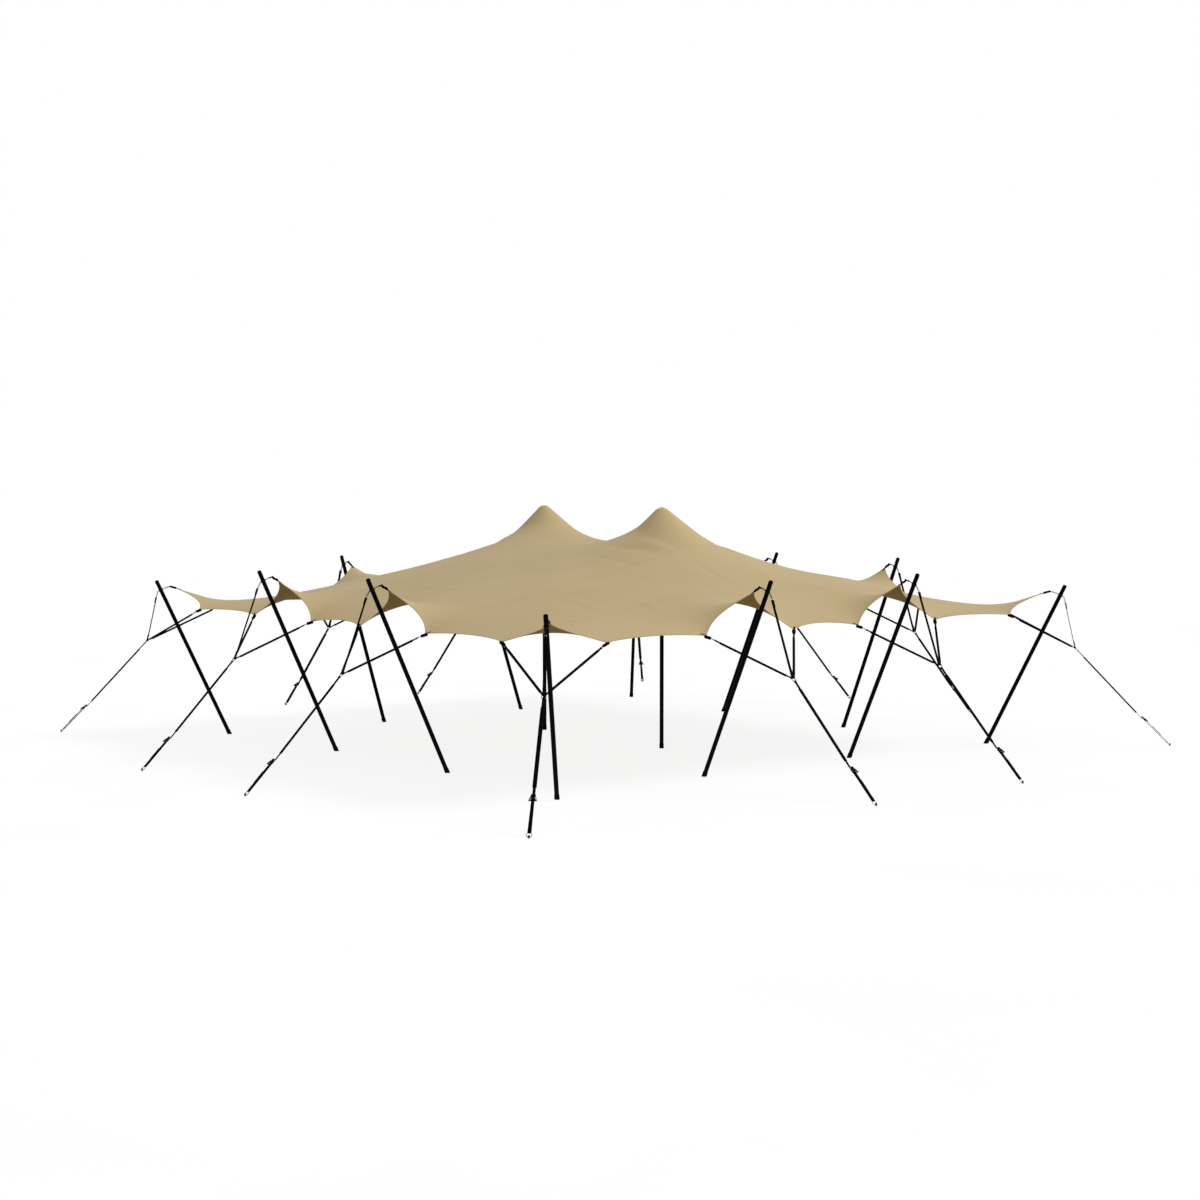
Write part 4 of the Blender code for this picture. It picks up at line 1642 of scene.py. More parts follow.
    def seam_lines(self, grid: np.ndarray, normal: np.ndarray) -> list[SewnLine]:
        """The lines of the panels' seams.

        Args:
            grid: the cloth's middle surface, with the column and row of each point.
            normal: the way out of its upper face at each point.

        Returns:
            The lines, on the cloth's upper face.
        """
        rows = []
        columns = grid[:, 3, 3]
        for column in self.seam_columns:
            low = int(np.searchsorted(columns, column)) - 1
            share = (column - columns[low]) / (columns[low + 1] - columns[low])
            path = grid[low, 3:-3, :3] * (1 - share) + grid[low + 1, 3:-3, :3] * share
            ups = normal[low, 3:-3] * (1 - share) + normal[low + 1, 3:-3] * share
            path = path + ups * (self.thickness / 2)
            rows.append(([Vector(p) for p in path], [Vector(u).normalized() for u in ups]))
        return rows

    def build(self) -> BVHTree:
        """Builds and shows the cloth.

        Returns:
            Its surface, for what is sewn to it.
        """
        grid = self.with_hem(self.grid())
        place = grid[..., :3]
        normal = self.normals(place)
        cloth = show("canopy_cloth", self.sheet(grid), Slot.CLOTH, "tent", "canopy")
        line = [Vector(point) for point in once_round(place)]
        loop = draft_mesh("hem_line", line, [(k, (k + 1) % len(line)) for k in range(len(line))])
        sizes = {"Radius": self.cord_radius}
        cord = CordTree().bake("canopy_hem_cord", loop, self.finishes.hem, sizes, False)
        hem = show("canopy_hem_cord", cord, Slot.CLOTH, "tent", "canopy")
        seams = self.seam_lines(grid, normal)
        tape = TapeTree().bake("canopy_seams", StitchTree.lines(seams), self.finishes.cloth, {})
        seam = show("canopy_seams", tape, Slot.CLOTH, "tent", "canopy")
        rows = self.sewn_hem(place, normal)
        for path, ups in seams:
            for side in (-self.seam_sewing, self.seam_sewing):
                rows.append(([p + ACROSS * side + u * (2 * THREAD_LIFT) for p, u in zip(path, ups)], ups))
        sewn = self.stitches.sew(
            "canopy_stitches", rows, self.finishes.cloth_thread,
            Pitch=0.018, Length=0.012, Width=0.0014, Height=0.0006,
        )
        thread = show("canopy_stitches", sewn, Slot.CLOTH, "tent")
        return BVHTree.FromObject(cloth, bpy.context.evaluated_depsgraph_get())


@dataclass(frozen=True)
class Pole:
    """A black tube with a rubber foot and, on a leaning pole, a rounded cap."""

    finishes: Finishes
    radius: float = 0.0305
    foot_radius: float = 0.0345
    foot_length: float = 0.07
    foot_grooves: Triple = (0.022, 0.034, 0.046)
    groove_depth: float = 0.0012
    cap_length: float = 0.03
    cap_lip: float = 0.0004
    sides: int = 40
    buried: float = 0.08
    head_lift: float = 0.033
    head_length: float = 0.1
    head_dome: float = 0.0602
    dome_angles: tuple[int, ...] = (0, 12, 24, 36, 48, 60, 72, 82)

    def foot(self, low: float) -> list[Pair]:
        """The foot's profile, with its grooves and a lip.

        Args:
            low: where it starts, as far under the ground as a leaning foot has to.

        Returns:
            (radius, height) up to the tube.
        """
        r, high, deep = self.foot_radius, self.foot_length, self.foot_radius - self.groove_depth
        profile = [(r, low), (r, 0.018)]
        for at in self.foot_grooves:
            profile += [(r, at), (deep, at + 0.0015), (deep, at + 0.004), (r, at + 0.0055)]
        return profile + [(r, high - 0.003), (r - 0.001, high), (self.radius + self.cap_lip, high + 0.001)]

    def shaft(self, draft: Draft, frame_at: Matrix, low: float, high: float) -> None:
        """The foot and the tube.

        Args:
            draft: what they are added to.
            frame_at: the pole's frame, with Z up it.
            low: where the foot starts.
            high: where the tube ends.
        """
        joint = self.foot_length
        draft.lathe([*self.foot(low), (self.radius * 0.9, joint + 0.001)], frame_at, self.sides, 1)
        tube = [(self.radius, joint - 0.002)]
        tube += [(self.radius, joint + (high - joint) * k / 8) for k in range(1, 9)]
        draft.lathe(tube, frame_at, self.sides, 0)

    def leaning(self, plan: StationPlan) -> Piece:
        """The leaning pole of a plan.

        Args:
            plan: where it stands.

        Returns:
            The piece, cut level at the ground.
        """
        frame_at = plan.pole_frame(plan.foot_point())
        long = (plan.top_point() - plan.foot_point()).length
        low, wide = long - self.cap_length, self.radius + self.cap_lip
        draft = Draft()
        self.shaft(draft, frame_at, -self.buried, low)
        dome = [(self.radius * 0.94, low - 0.002), (self.radius * 0.94, low + 0.001), (wide, low + 0.0012)]
        for degrees in (0, 18, 36, 52, 66, 78, 87):
            bend = math.radians(degrees)
            dome.append((wide * math.cos(bend) ** 0.75, long - self.cap_length * 0.72 * (1 - math.sin(bend))))
        draft.lathe(dome, frame_at, self.sides, 1)
        mesh = draft.mesh("leaning_pole", self.finishes.pole, self.finishes.rubber)
        bm = bmesh.new()
        bm.from_mesh(mesh)
        whole = bm.verts[:] + bm.edges[:] + bm.faces[:]
        cut = bmesh.ops.bisect_plane(bm, geom=whole, plane_co=(0, 0, 0), plane_no=UP, clear_inner=True)
        edges = [item for item in cut["geom_cut"] if isinstance(item, bmesh.types.BMEdge)]
        bmesh.ops.edgeloop_fill(bm, edges=edges)
        bmesh.ops.recalc_face_normals(bm, faces=bm.faces)
        bm.to_mesh(mesh)
        bm.free()
        return Piece("_tube", mesh, Slot.POLE, f"{plan.kind.value}_pole")

    def king(self, name: str) -> None:
        """Builds and shows a king pole.

        Args:
            name: its node, which it stands inside.
        """
        low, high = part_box(name)
        middle = Matrix.Translation(((low.x + high.x) / 2, (low.y + high.y) / 2, 0.0))
        wide, top = (high.x - low.x) / 2, high.z + self.head_lift
        draft = Draft()
        self.shaft(draft, middle, 0.0, top - self.head_length)
        collar = ((0.004, 0.15), (0.005, 0.145), (0.006, 0.11))
        head = [(self.radius + out, top - down) for out, down in collar]
        head += [(wide * 0.8, top - 0.082), (wide * 0.96, top - 0.068)]
        highest = math.sin(math.radians(self.dome_angles[-1]))
        for degrees in self.dome_angles:
            bend = math.radians(degrees)
            head.append((wide * math.cos(bend), top - self.head_dome * (1 - math.sin(bend) / highest)))
        draft.lathe(head, middle, self.sides, 1)
        mesh = draft.mesh(name + "_tube", self.finishes.pole, self.finishes.rubber)
        show(name + "_tube", mesh, Slot.POLE, "tent", name)


@dataclass(frozen=True)
class Bridle:
    """The collar, links, rings and webbing at the head of a leaning pole."""

    plan: StationPlan
    finishes: Finishes
    stitches: StitchTree
    links: LinkTree
    pole_radius: float = 0.0305
    collar_half: float = 0.016
    collar_wall: float = 0.005
    collar_gap: float = 0.0003
    boss: tuple[Pair, ...] = (
        (0.0085, 0.0), (0.0085, 0.004), (0.0075, 0.005), (0.004, 0.005), (0.0035, 0.0038),
    )
    eye_radius: float = 0.008
    eye_wire: float = 0.0035
    small_ring: float = 0.015
    small_wire: float = 0.0035
    ring_radius: float = 0.03
    ring_wire: float = 0.006
    inner_ring: Pair = (-0.092, 0.0385)
    sling_way: Pair = (-0.150, 0.055)
    link_wire: float = 0.003
    link_width: float = 0.0175
    drop: Webbing = Webbing(0.043, 0.007)
    drop_laps: Pair = (0.085, 0.10)
    drop_throats: Pair = (0.022, 0.03)
    sling: Webbing = Webbing(0.032, 0.006)
    sling_sleeve: Webbing = Webbing(0.038, 0.030)
    sling_turn: float = -35.0
    sling_lap: float = 0.048
    sling_throat: float = 0.017
    ear_strap: Webbing = Webbing(0.026, 0.005)
    ear_sleeve: Webbing = Webbing(0.035, 0.028)
    ear_laps: Pair = (0.08, 0.07)
    ear_throats: Pair = (0.026, 0.02)
    tab: Webbing = Webbing(0.034, 0.003)
    tab_sleeve: Webbing = Webbing(0.050, 0.038)
    tab_reach: float = 0.095
    tip_lift: float = 0.003

    def inward(self) -> Vector:
        """Square to the pole, towards the tent."""
        axis = self.plan.pole_axis()
        return Vector((0.0, -axis.z, axis.y))

    def from_collar(self, offset: Pair) -> Vector:
        """A point that far out and up from the collar's middle."""
        return self.plan.collar() + Vector((0.0, *offset))

    def eye_at(self, side: int) -> Vector:
        """The middle of an eye's outer wire: side 1 is towards the tent."""
        reach = self.pole_radius + self.collar_wall + 2 * self.eye_radius
        return self.plan.collar() + self.inward() * side * reach

    def small_rings(self) -> list[tuple[Vector, Vector, Vector]]:
        """The sling's ring and the drop strap's.

        Returns:
            Each one's eye, its middle and the way that it is pulled.
        """
        found = []
        inner = (1, self.inner_ring, self.from_collar(self.sling_way))
        outer = (-1, self.plan.outer_ring, self.plan.ring_point())
        for side, offset, goal in (inner, outer):
            eye, centre = self.eye_at(side), self.from_collar(offset)
            pull = (centre - eye).normalized() + (goal - centre).normalized()
            found.append((eye, centre, pull.normalized()))
        return found

    def fittings(self) -> Piece:
        """The collar, its two eyes and the dark links, each turned a quarter from the last.

        Returns:
            The piece.
        """
        draft = Draft()
        collar = self.plan.collar()
        frame_at = self.plan.pole_frame(collar)
        near, far = self.pole_radius + self.collar_gap, self.pole_radius + self.collar_wall
        half = self.collar_half
        band = [(near, -half), (far - 0.001, -half), (far, -half + 0.001)]
        draft.sleeve(band + [(r, -h) for r, h in reversed(band)], frame_at, 40)
        for side in (-1, 1):
            lug = collar + self.inward() * side * (far + self.eye_radius - 0.001)
            draft.ring(lug, self.plan.pole_axis(), self.eye_radius, self.eye_wire, 24)
            wall = Matrix.Translation((side * (far - 0.0015), 0, 0))
            draft.lathe(list(self.boss), frame_at @ wall @ Matrix.Rotation(side * QUARTER, 4, "Y"), 6)
        meshes = [draft.mesh("bridle_collar", self.finishes.ratchet)]
        for (eye, centre, pull), count in zip(self.small_rings(), (1, 3)):
            run = centre - pull * self.small_ring - eye
            way = run.normalized()
            square = [ACROSS, ACROSS.cross(way)]
            middles = [eye + run * (k + 0.5) / count for k in range(count)]
            axes = [square[k % 2] for k in range(count)]
            chain = draft_mesh("link_points", middles, [], way=[way] * count, axis=axes)
            long = run.length / count + self.eye_wire + self.link_wire
            sizes = {"Length": long, "Width": self.link_width, "Wire": self.link_wire}
            meshes.append(self.links.bake("bridle_links", chain, self.finishes.ratchet, sizes))
        return Piece("_fittings", joined("bridle_fittings", meshes), Slot.RATCHET, "bridle")

    def ear_ends(self) -> list[tuple[Vector, Vector, Vector]]:
        """Sets out the ears' rings.

        Returns:
            Each one's middle, the way to the ear and the strap's face there.
        """
        found = []
        face = self.plan.strap_face()
        for ear in self.plan.ear_points():
            way = (ear - self.plan.ring_point()).normalized()
            centre = ear - way * (self.tab_reach + self.small_ring)
            found.append((centre, way, (face - way * face.dot(way)).normalized()))
        return found

    def rings(self) -> Piece:
        """The bright rings.

        Returns:
            The piece.
        """
        draft = Draft()
        draft.ring(self.plan.ring_point(), self.plan.strap_face(), self.ring_radius, self.ring_wire, 48)
        for _, centre, pull in self.small_rings():
            draft.ring(centre, ACROSS.cross(pull), self.small_ring, self.small_wire, 28)
        for centre, _, face in self.ear_ends():
            draft.ring(centre, face, self.small_ring, self.small_wire, 28)
        return Piece("_rings", draft.mesh("bridle_rings", self.finishes.steel), Slot.STEEL, "bridle")

    def lay_drop(self, draft: Draft, sewing: Sewing) -> None:
        """Lays the drop strap from its small ring to the large one.

        Args:
            draft: what it is added to.
            sewing: what its stitches are added to.
        """
        _, centre, pull = self.small_rings()[1]
        high = centre + pull * self.small_ring
        low = self.plan.ring_point() + self.plan.strap_axis() * self.ring_radius
        way = (low - high).normalized()
        face, half, gap = ACROSS.cross(way), self.drop.thickness / 2, self.drop.layers()
        top = Loop(high, way, face, self.small_wire + half, self.drop_laps[0], gap)
        end = Loop(low, -way, face, self.ring_wire + half, self.drop_laps[1], gap)
        self.drop.lay(draft, top.path() + end.path()[::-1], ACROSS)
        sewing.lap(top, self.drop, self.drop_throats[0])
        sewing.lap(end, self.drop, self.drop_throats[1])

    def lay_sling(self, draft: Draft, sewing: Sewing) -> None:
        """Lays the sling from its ring to the cloth's tip, and the sleeve over it.

        Args:
            draft: what they are added to.
            sewing: what the sling's stitches are added to.
        """
        _, centre, pull = self.small_rings()[0]
        wire = centre + pull * self.small_ring
        ahead = (self.from_collar(self.sling_way) - wire).normalized()
        radius = self.small_wire + self.drop.thickness / 2
        loop = Loop(wire, ahead, ACROSS.cross(ahead), radius, self.sling_lap, self.drop.layers())
        start, tip = loop.path(), self.plan.tip_point()
        held = [tip + Vector((0, *point)) for point in (*self.plan.sling_arc, (0.004, self.tip_lift))]
        path = start[:-1] + smooth_path([start[-1], *held], 0.008)
        sides = turning(path, ACROSS, len(start) - 1, len(path) - 1, self.sling_turn)
        self.sling.lay(draft, path, sides)
        covered = slice(len(start) - 1, len(path) - 2)
        self.sling_sleeve.lay(draft, path[covered], sides[covered])
        sewing.lap(loop, self.sling, self.sling_throat)

    def lay_ear_straps(self, draft: Draft, sewing: Sewing) -> None:
        """Lays both ear straps from the large ring, and the sleeves over them.

        Args:
            draft: what they are added to.
            sewing: what the straps' stitches are added to.
        """
        ring, face = self.plan.ring_point(), self.plan.strap_face()
        half, gap = self.ear_strap.thickness / 2, self.ear_strap.layers()
        for centre, out, flat in self.ear_ends():
            far = centre - out * self.small_ring
            near = ring + (out - face * out.dot(face)).normalized() * self.ring_radius
            run = (far - near).normalized()
            flat = (flat - run * flat.dot(run)).normalized()
            first = Loop(near, run, flat, self.ring_wire + half, self.ear_laps[0], gap)
            last = Loop(far, -run, flat, self.small_wire + half, self.ear_laps[1], gap)
            start, end, side = first.path(), last.path(), run.cross(flat)
            self.ear_strap.lay(draft, start + end[::-1], side)
            self.ear_sleeve.lay(draft, [start[-1], end[-1]], side)
            sewing.lap(first, self.ear_strap, self.ear_throats[0])
            sewing.lap(last, self.ear_strap, self.ear_throats[1])

    def straps(self) -> tuple[Piece, Piece]:
        """The drop strap, the sling and both ear straps.

        Returns:
            The webbing and its stitches.
        """
        draft, sewing = Draft(), Sewing([])
        for lay in (self.lay_drop, self.lay_sling, self.lay_ear_straps):
            lay(draft, sewing)
        mesh = draft.mesh("bridle_straps", self.finishes.webbing)
        sewn = self.stitches.sew("bridle_stitches", sewing.rows, self.finishes.black_thread)
        straps = Piece("_straps", mesh, Slot.WEBBING, "bridle")
        return straps, Piece("_stitches", sewn, Slot.WEBBING, "bridle")


def joined(name: str, meshes: list[Mesh]) -> Mesh:
    """Puts several meshes with the same material into one.

    Args:
        name: the new mesh's name.
        meshes: what goes into it.

    Returns:
        The mesh.
    """
    bm = bmesh.new()
    for mesh in meshes:
        bm.from_mesh(mesh)
    made = bpy.data.meshes.new(name)
    bm.to_mesh(made)
    bm.free()
    made.materials.append(meshes[0].materials[0])
    return made


@dataclass(frozen=True)
class Tabs:
    """The webbing tabs sewn to the cloth at a station's tip and ears."""

    cloth: BVHTree
    finishes: Finishes
    stitches: StitchTree
    bridle: Bridle
    on_cloth: float = 0.075
    tip_on_cloth: float = 0.055
    clear: float = 0.0018
    inside: float = 0.004
    lap_short: float = 0.02
    throat: float = 0.024
    narrowing: float = 0.8
    narrow_points: int = 12
    sleeve_on_cloth: float = 0.03
    sleeve_short: float = 0.03
    sleeve_turn: float = 25.0

    def on(self, point: Vector) -> tuple[Vector, Vector]:
        """Finds the cloth's upper face below or above a point.

        Args:
            point: the point.

        Returns:
            The place on the cloth, and the way out of it.
        """
        hit = self.cloth.ray_cast(point + UP * 0.4, -UP)
        if hit[0] is None:
            place, normal, _, _ = self.cloth.find_nearest(point)
            return place, normal if normal.z > 0 else -normal
        return hit[0], hit[1]

    def sewn_path(self, corner: Vector, inward: Vector, long: float) -> list[Vector]:
        """A path on the cloth, from inside it to its corner.

        Args:
            corner: the tip or the ear.
            inward: the level way into the cloth.
            long: how far in it starts.

        Returns:
            Its points, just above the cloth.
        """
        path = []
        for k in range(6):
            place, normal = self.on(corner + inward * (long * (1 - k / 5) + self.inside))
            path.append(place + normal * self.clear)
        return path

    def lay_ear_tab(self, draft: Draft, sewing: Sewing, ear: Vector, wire: Vector, out: Vector) -> None:
        """Lays an ear's tab from the cloth round its ring, and the sleeve over it.

        Args:
            draft: what they are added to.
            sewing: what the tab's stitches are added to.
            ear: the cloth's ear.
            wire: the middle of the ring's wire.
            out: the way from the ring to the ear.
        """
        tab = self.bridle.tab
        level = Vector((out.x, out.y, 0)).normalized()
        across = out.cross(UP).normalized()
        flat = across.cross(out).normalized()
        radius = self.bridle.small_wire + tab.thickness / 2
        loop = Loop(wire, out, flat, radius, self.bridle.tab_reach - self.lap_short, tab.layers())
        sewn = self.sewn_path(ear, level, self.on_cloth)
        path = sewn + loop.path()[::-1][1:]
        narrow = Webbing(tab.width * self.narrowing, tab.thickness)
        wide = len(path) - self.narrow_points
        tab.lay(draft, path, across, [tab.width] * wide + [narrow.width] * self.narrow_points)
        start, end = ear + level * self.sleeve_on_cloth, wire + out * self.sleeve_short
        covered = [start.lerp(end, k / 8) for k in range(9)]
        self.bridle.tab_sleeve.lay(draft, covered, turning(covered, across, 0, 8, self.sleeve_turn))
        sewing.down(sewn, across, tab)
        sewing.lap(loop, narrow, self.throat)

    def build(self, station: Station) -> None:
        """Builds and shows the tabs and their stitches.

        Args:
            station: where they are.
        """
        draft, sewing = Draft(), Sewing([])
        place, bridle = station.place(), self.bridle
        turn = place.to_3x3()
        tip = place @ station.plan.tip_point()
        inward, side = (turn @ Vector((0, -1, 0))).normalized(), turn @ ACROSS
        path = self.sewn_path(tip, inward, self.tip_on_cloth)
        bridle.sling.lay(draft, [*path, tip + UP * bridle.tip_lift - inward * self.inside], side)
        sewing.down(path, side, bridle.sling)
        for (centre, out, _), ear in zip(bridle.ear_ends(), station.plan.ear_points()):
            out = turn @ out
            wire = place @ centre + out * bridle.small_ring
            self.lay_ear_tab(draft, sewing, place @ ear, wire, out)
        mesh = draft.mesh("bridle_tabs", self.finishes.webbing)
        name = station.node("bridle")
        show(name + "_tabs", mesh, Slot.WEBBING, "tent", name)
        sewn = self.stitches.sew("tab_stitches", sewing.rows, self.finishes.black_thread)
        show(name + "_tab_stitches", sewn, Slot.WEBBING, "tent", name)


@dataclass(frozen=True)
class GroundStrap:
    """The webbing below the bridle's ring, the ratchet's frame and the stake."""

    plan: StationPlan
    finishes: Finishes
    stitches: StitchTree
    gears: GearTree
    ring_radius: float = 0.03
    ring_wire: float = 0.006
    ring_lap: float = 0.12
    ring_throat: float = 0.03
    stake_ring: float = 0.032
    stake_wire: float = 0.005
    stake_reach: float = 0.036
    stake_rise: float = 0.0085
    stake_radius: float = 0.013
    stake_height: float = 0.036
    plate_out: float = 0.0205
    plate_thickness: float = 0.003
    plate_half: float = 0.011
    plate_end: float = 0.0115
    sheet_thickness: float = 0.0022
    spindle_radius: float = 0.008
    spindle_half: float = 0.030
    spindle_slot: float = 0.0014
    bolt_radius: float = 0.0055
    wheel_out: float = 0.0235
    wheel_thickness: float = 0.0024
    washer_radius: float = 0.0115
    washer_thickness: float = 0.001
    washer_inset: float = 0.0016
    washer_edge: float = 0.0003
    turns: float = 1.25
    turn_points: int = 36
    first_layers: float = 0.7
    free_reach: float = 0.09
    free_share: float = 0.93
    strap: Webbing = Webbing(0.037, 0.005)
    run_sleeve: Webbing = Webbing(0.052, 0.022)
    run_covered: Pair = (0.01, 0.97)
    low_width: float = 0.047
    patch: Triple = (0.3, 0.5, 0.7)

    def stake_ring_at(self) -> Vector:
        """The middle of the stake's ring."""
        reach = self.plan.strap_axis() * self.stake_reach + UP * self.stake_rise
        return self.plan.stake_point() + reach

    def lay_run(self, draft: Draft, sewing: Sewing) -> None:
        """Lays the long strap from the bridle's ring down and round the spindle, and its sleeve.

        Args:
            draft: what they are added to.
            sewing: what the strap's stitches are added to.
        """
        up, face = self.plan.strap_axis(), self.plan.strap_face()
        thick, spindle = self.strap.thickness, self.plan.spindle()
        wire = self.plan.ring_point() - up * self.ring_radius
        loop = Loop(wire, -up, face, self.ring_wire + thick / 2, self.ring_lap, self.strap.layers())
        sewing.lap(loop, self.strap, self.ring_throat)
        wound = []
        for k in range(self.turn_points + 1):
            share = k / self.turn_points
            turn = QUARTER + math.tau * self.turns * share
            radius = self.spindle_radius + thick * (self.turns * (1 - share) + self.first_layers)
            wound.append(spindle - face * (math.sin(turn) * radius) - up * (math.cos(turn) * radius))
        outer = self.spindle_radius + thick * (self.turns + self.first_layers)
        free = spindle + up * self.free_reach - face * outer * self.free_share
        top = loop.path()
        self.strap.lay(draft, [*top, free, *wound], ACROSS)
        self.run_sleeve.lay(draft, [top[-1].lerp(free, share) for share in self.run_covered], ACROSS)

    def lay_low(self, draft: Draft, sewing: Sewing) -> None:
        """Lays the doubled strap from the ratchet's bolt round the stake's ring, and its patch.

        Args:
            draft: what it is added to.
            sewing: what its stitches are added to.
        """
        bolt, low = self.plan.bolt(), self.stake_ring_at() + self.plan.strap_axis() * self.stake_ring
        long, way = (low - bolt).length, (low - bolt).normalized()
        square, thick, width = ACROSS.cross(way), self.strap.thickness, self.strap.width
        near, far = self.bolt_radius + thick / 2, self.stake_wire + thick / 2
        loop = []
        for centre, radius, start in ((bolt, near, QUARTER), (low, far, -QUARTER)):
            for cosine, sine in arc(12, start, math.pi):
                loop.append(centre + way * (cosine * radius) + square * (sine * radius))
        loop = [*loop[6:], *loop[:6]]
        widths = [width] * 7 + [self.low_width] * 13 + [width] * 7
        self.strap.lay(draft, [*loop, loop[0] + (loop[1] - loop[0]) * 0.2], ACROSS, widths)
        patch = [bolt + way * (long * share) + square * (near + thick) for share in self.patch]
        self.strap.lay(draft, patch, ACROSS)
        first, last = self.patch[0], self.patch[-1]
        for sign, lift in ((1, near + thick * 1.5), (-1, -near + thick / 2)):
            start = bolt + way * (long * first + sewing.margin) + square * (lift + THREAD_LIFT * sign)
            inner = long * (last - first) - 2 * sewing.margin
            sewing.patch(start, way, ACROSS, square * sign, inner, width - 2 * sewing.margin)

    def webbing(self) -> tuple[Piece, Piece]:
        """The long strap and the doubled one below it.

        Returns:
            The webbing and its stitches.
        """
        draft, sewing = Draft(), Sewing([])
        self.lay_run(draft, sewing)
        self.lay_low(draft, sewing)
        mesh = draft.mesh("ground_strap", self.finishes.webbing)
        sewn = self.stitches.sew("ground_stitches", sewing.rows, self.finishes.black_thread)
        strap = Piece("_webbing", mesh, Slot.WEBBING, "ground_strap")
        return strap, Piece("_stitches", sewn, Slot.WEBBING, "ground_strap")

    def side_plate(self) -> list[Pair]:
        """The outline of a side plate.

        Returns:
            Its corners, along the strap and out of its face.
        """
        end, half, long = self.plate_end, self.plate_half, self.plan.ratchet_length
        points = [(end * c, half * s) for c, s in arc(8, -QUARTER, math.pi)]
        points += [(-0.014, half), (-0.018, half - 0.0035), (-0.03, half - 0.0045), (-0.038, half - 0.001)]
        round_end = arc(8, QUARTER, math.pi)
        return points + [(-long + 0.0015 + end * c * 0.85, (half - 0.001) * s) for c, s in round_end]

    def frame_parts(self) -> Piece:
        """The side plates, the base, the catch and the bolt.

        Returns:
            The piece.
        """
        draft = Draft()
        at = self.plan.strap_frame()
        upright = at @ SIDEWAYS
        for side in (-1, 1):
            plate = upright @ Matrix.Translation((0, 0, side * self.plate_out))
            draft.plate(self.side_plate(), self.plate_thickness, plate)
        wide = self.plate_out - self.plate_thickness / 2
        base = at @ Matrix.Translation((0, -0.036, -self.plate_half + 0.0012))
        shape = [(-wide, -0.013), (wide, -0.013), (wide, 0.014), (-wide, 0.014)]
        draft.plate(shape, self.sheet_thickness, base)
        catch = at @ Matrix.Translation((0, -0.031, 0.0035)) @ Matrix.Rotation(math.radians(-12), 4, "X")
        reach = self.wheel_out + 0.001
        shape = [(-reach, 0.002), (-0.016, -0.009), (0.016, -0.009), (reach, 0.002)]
        shape += [(reach, 0.0095), (0.018, 0.0115), (-0.018, 0.0115), (-reach, 0.0095)]
        draft.plate(shape, self.sheet_thickness, catch)
        bolt, reach = self.plan.bolt(), ACROSS * (self.plate_out + self.plate_thickness / 2)
        draft.bar(bolt - reach, bolt + reach, self.bolt_radius)
        for side in (-1, 1):
            nut = frame_up(bolt + reach * side, ACROSS * side)
            draft.lathe([(0.0078, 0.0), (0.0078, 0.0032), (0.0068, 0.004), (0.004, 0.0042)], nut, 6)
        mesh = draft.mesh("ratchet_frame", self.finishes.ratchet)
        return Piece("_ratchet_frame", mesh, Slot.RATCHET, "ground_strap")

    def bright_parts(self) -> Piece:
        """The slotted spindle, both toothed wheels and the stake's ring.

        Returns:
            The piece.
        """
        draft = Draft()
        spindle, slot = self.plan.spindle(), self.spindle_slot
        slab = self.plan.strap_frame() @ SIDEWAYS
        for sign in (-1, 1):
            rise = self.spindle_radius - slot
            outline = [(self.spindle_radius * c, sign * (slot + rise * s)) for c, s in arc(8, 0.0, math.pi)]
            draft.plate(outline[::sign], 2 * self.spindle_half, slab, 0.0004)
            washer = spindle + ACROSS * sign * (self.spindle_half - self.washer_inset)
            far = washer + ACROSS * sign * self.washer_thickness
            draft.bar(washer, far, self.washer_radius, self.washer_edge)
        draft.ring(self.stake_ring_at(), self.plan.strap_face(), self.stake_ring, self.stake_wire, 48)
        meshes = [draft.mesh("bright_parts", self.finishes.steel)]
        sizes = {"Teeth": 11.0, "Root": 0.0125, "Tip": 0.0168, "Thickness": self.wheel_thickness}
        for side in (-1, 1):
            wheel = self.gears.bake("gear", bpy.data.meshes.new("wheel"), self.finishes.steel, sizes)
            shift = Matrix.Translation(ACROSS * (side * self.wheel_out - self.wheel_thickness / 2))
            wheel.transform(Matrix.Translation(spindle) @ shift @ Matrix.Rotation(QUARTER, 4, "Y"))
            meshes.append(wheel)
        return Piece("_bright_parts", joined("ratchet_bright", meshes), Slot.STEEL, "ground_strap")

    def stake(self) -> Piece:
        """The stake's head above the ground, with a hammered top.

        Returns:
            The piece.
        """
        draft = Draft()
        r, high = self.stake_radius, self.stake_height
        profile = [(r - 0.0006, 0.0), (r - 0.0006, high - 0.016), (r, high - 0.011)]
        profile += [(r + 0.0012, high - 0.006), (r + 0.0008, high - 0.0025), (r - 0.002, high - 0.0008)]
        profile += [(r * 0.5, high), (0.002, high)]
        draft.lathe(profile, Matrix.Translation(self.plan.stake_point()), 28)
        return Piece("_stake", draft.mesh("stake", self.finishes.forged), Slot.RATCHET, "ground_strap")


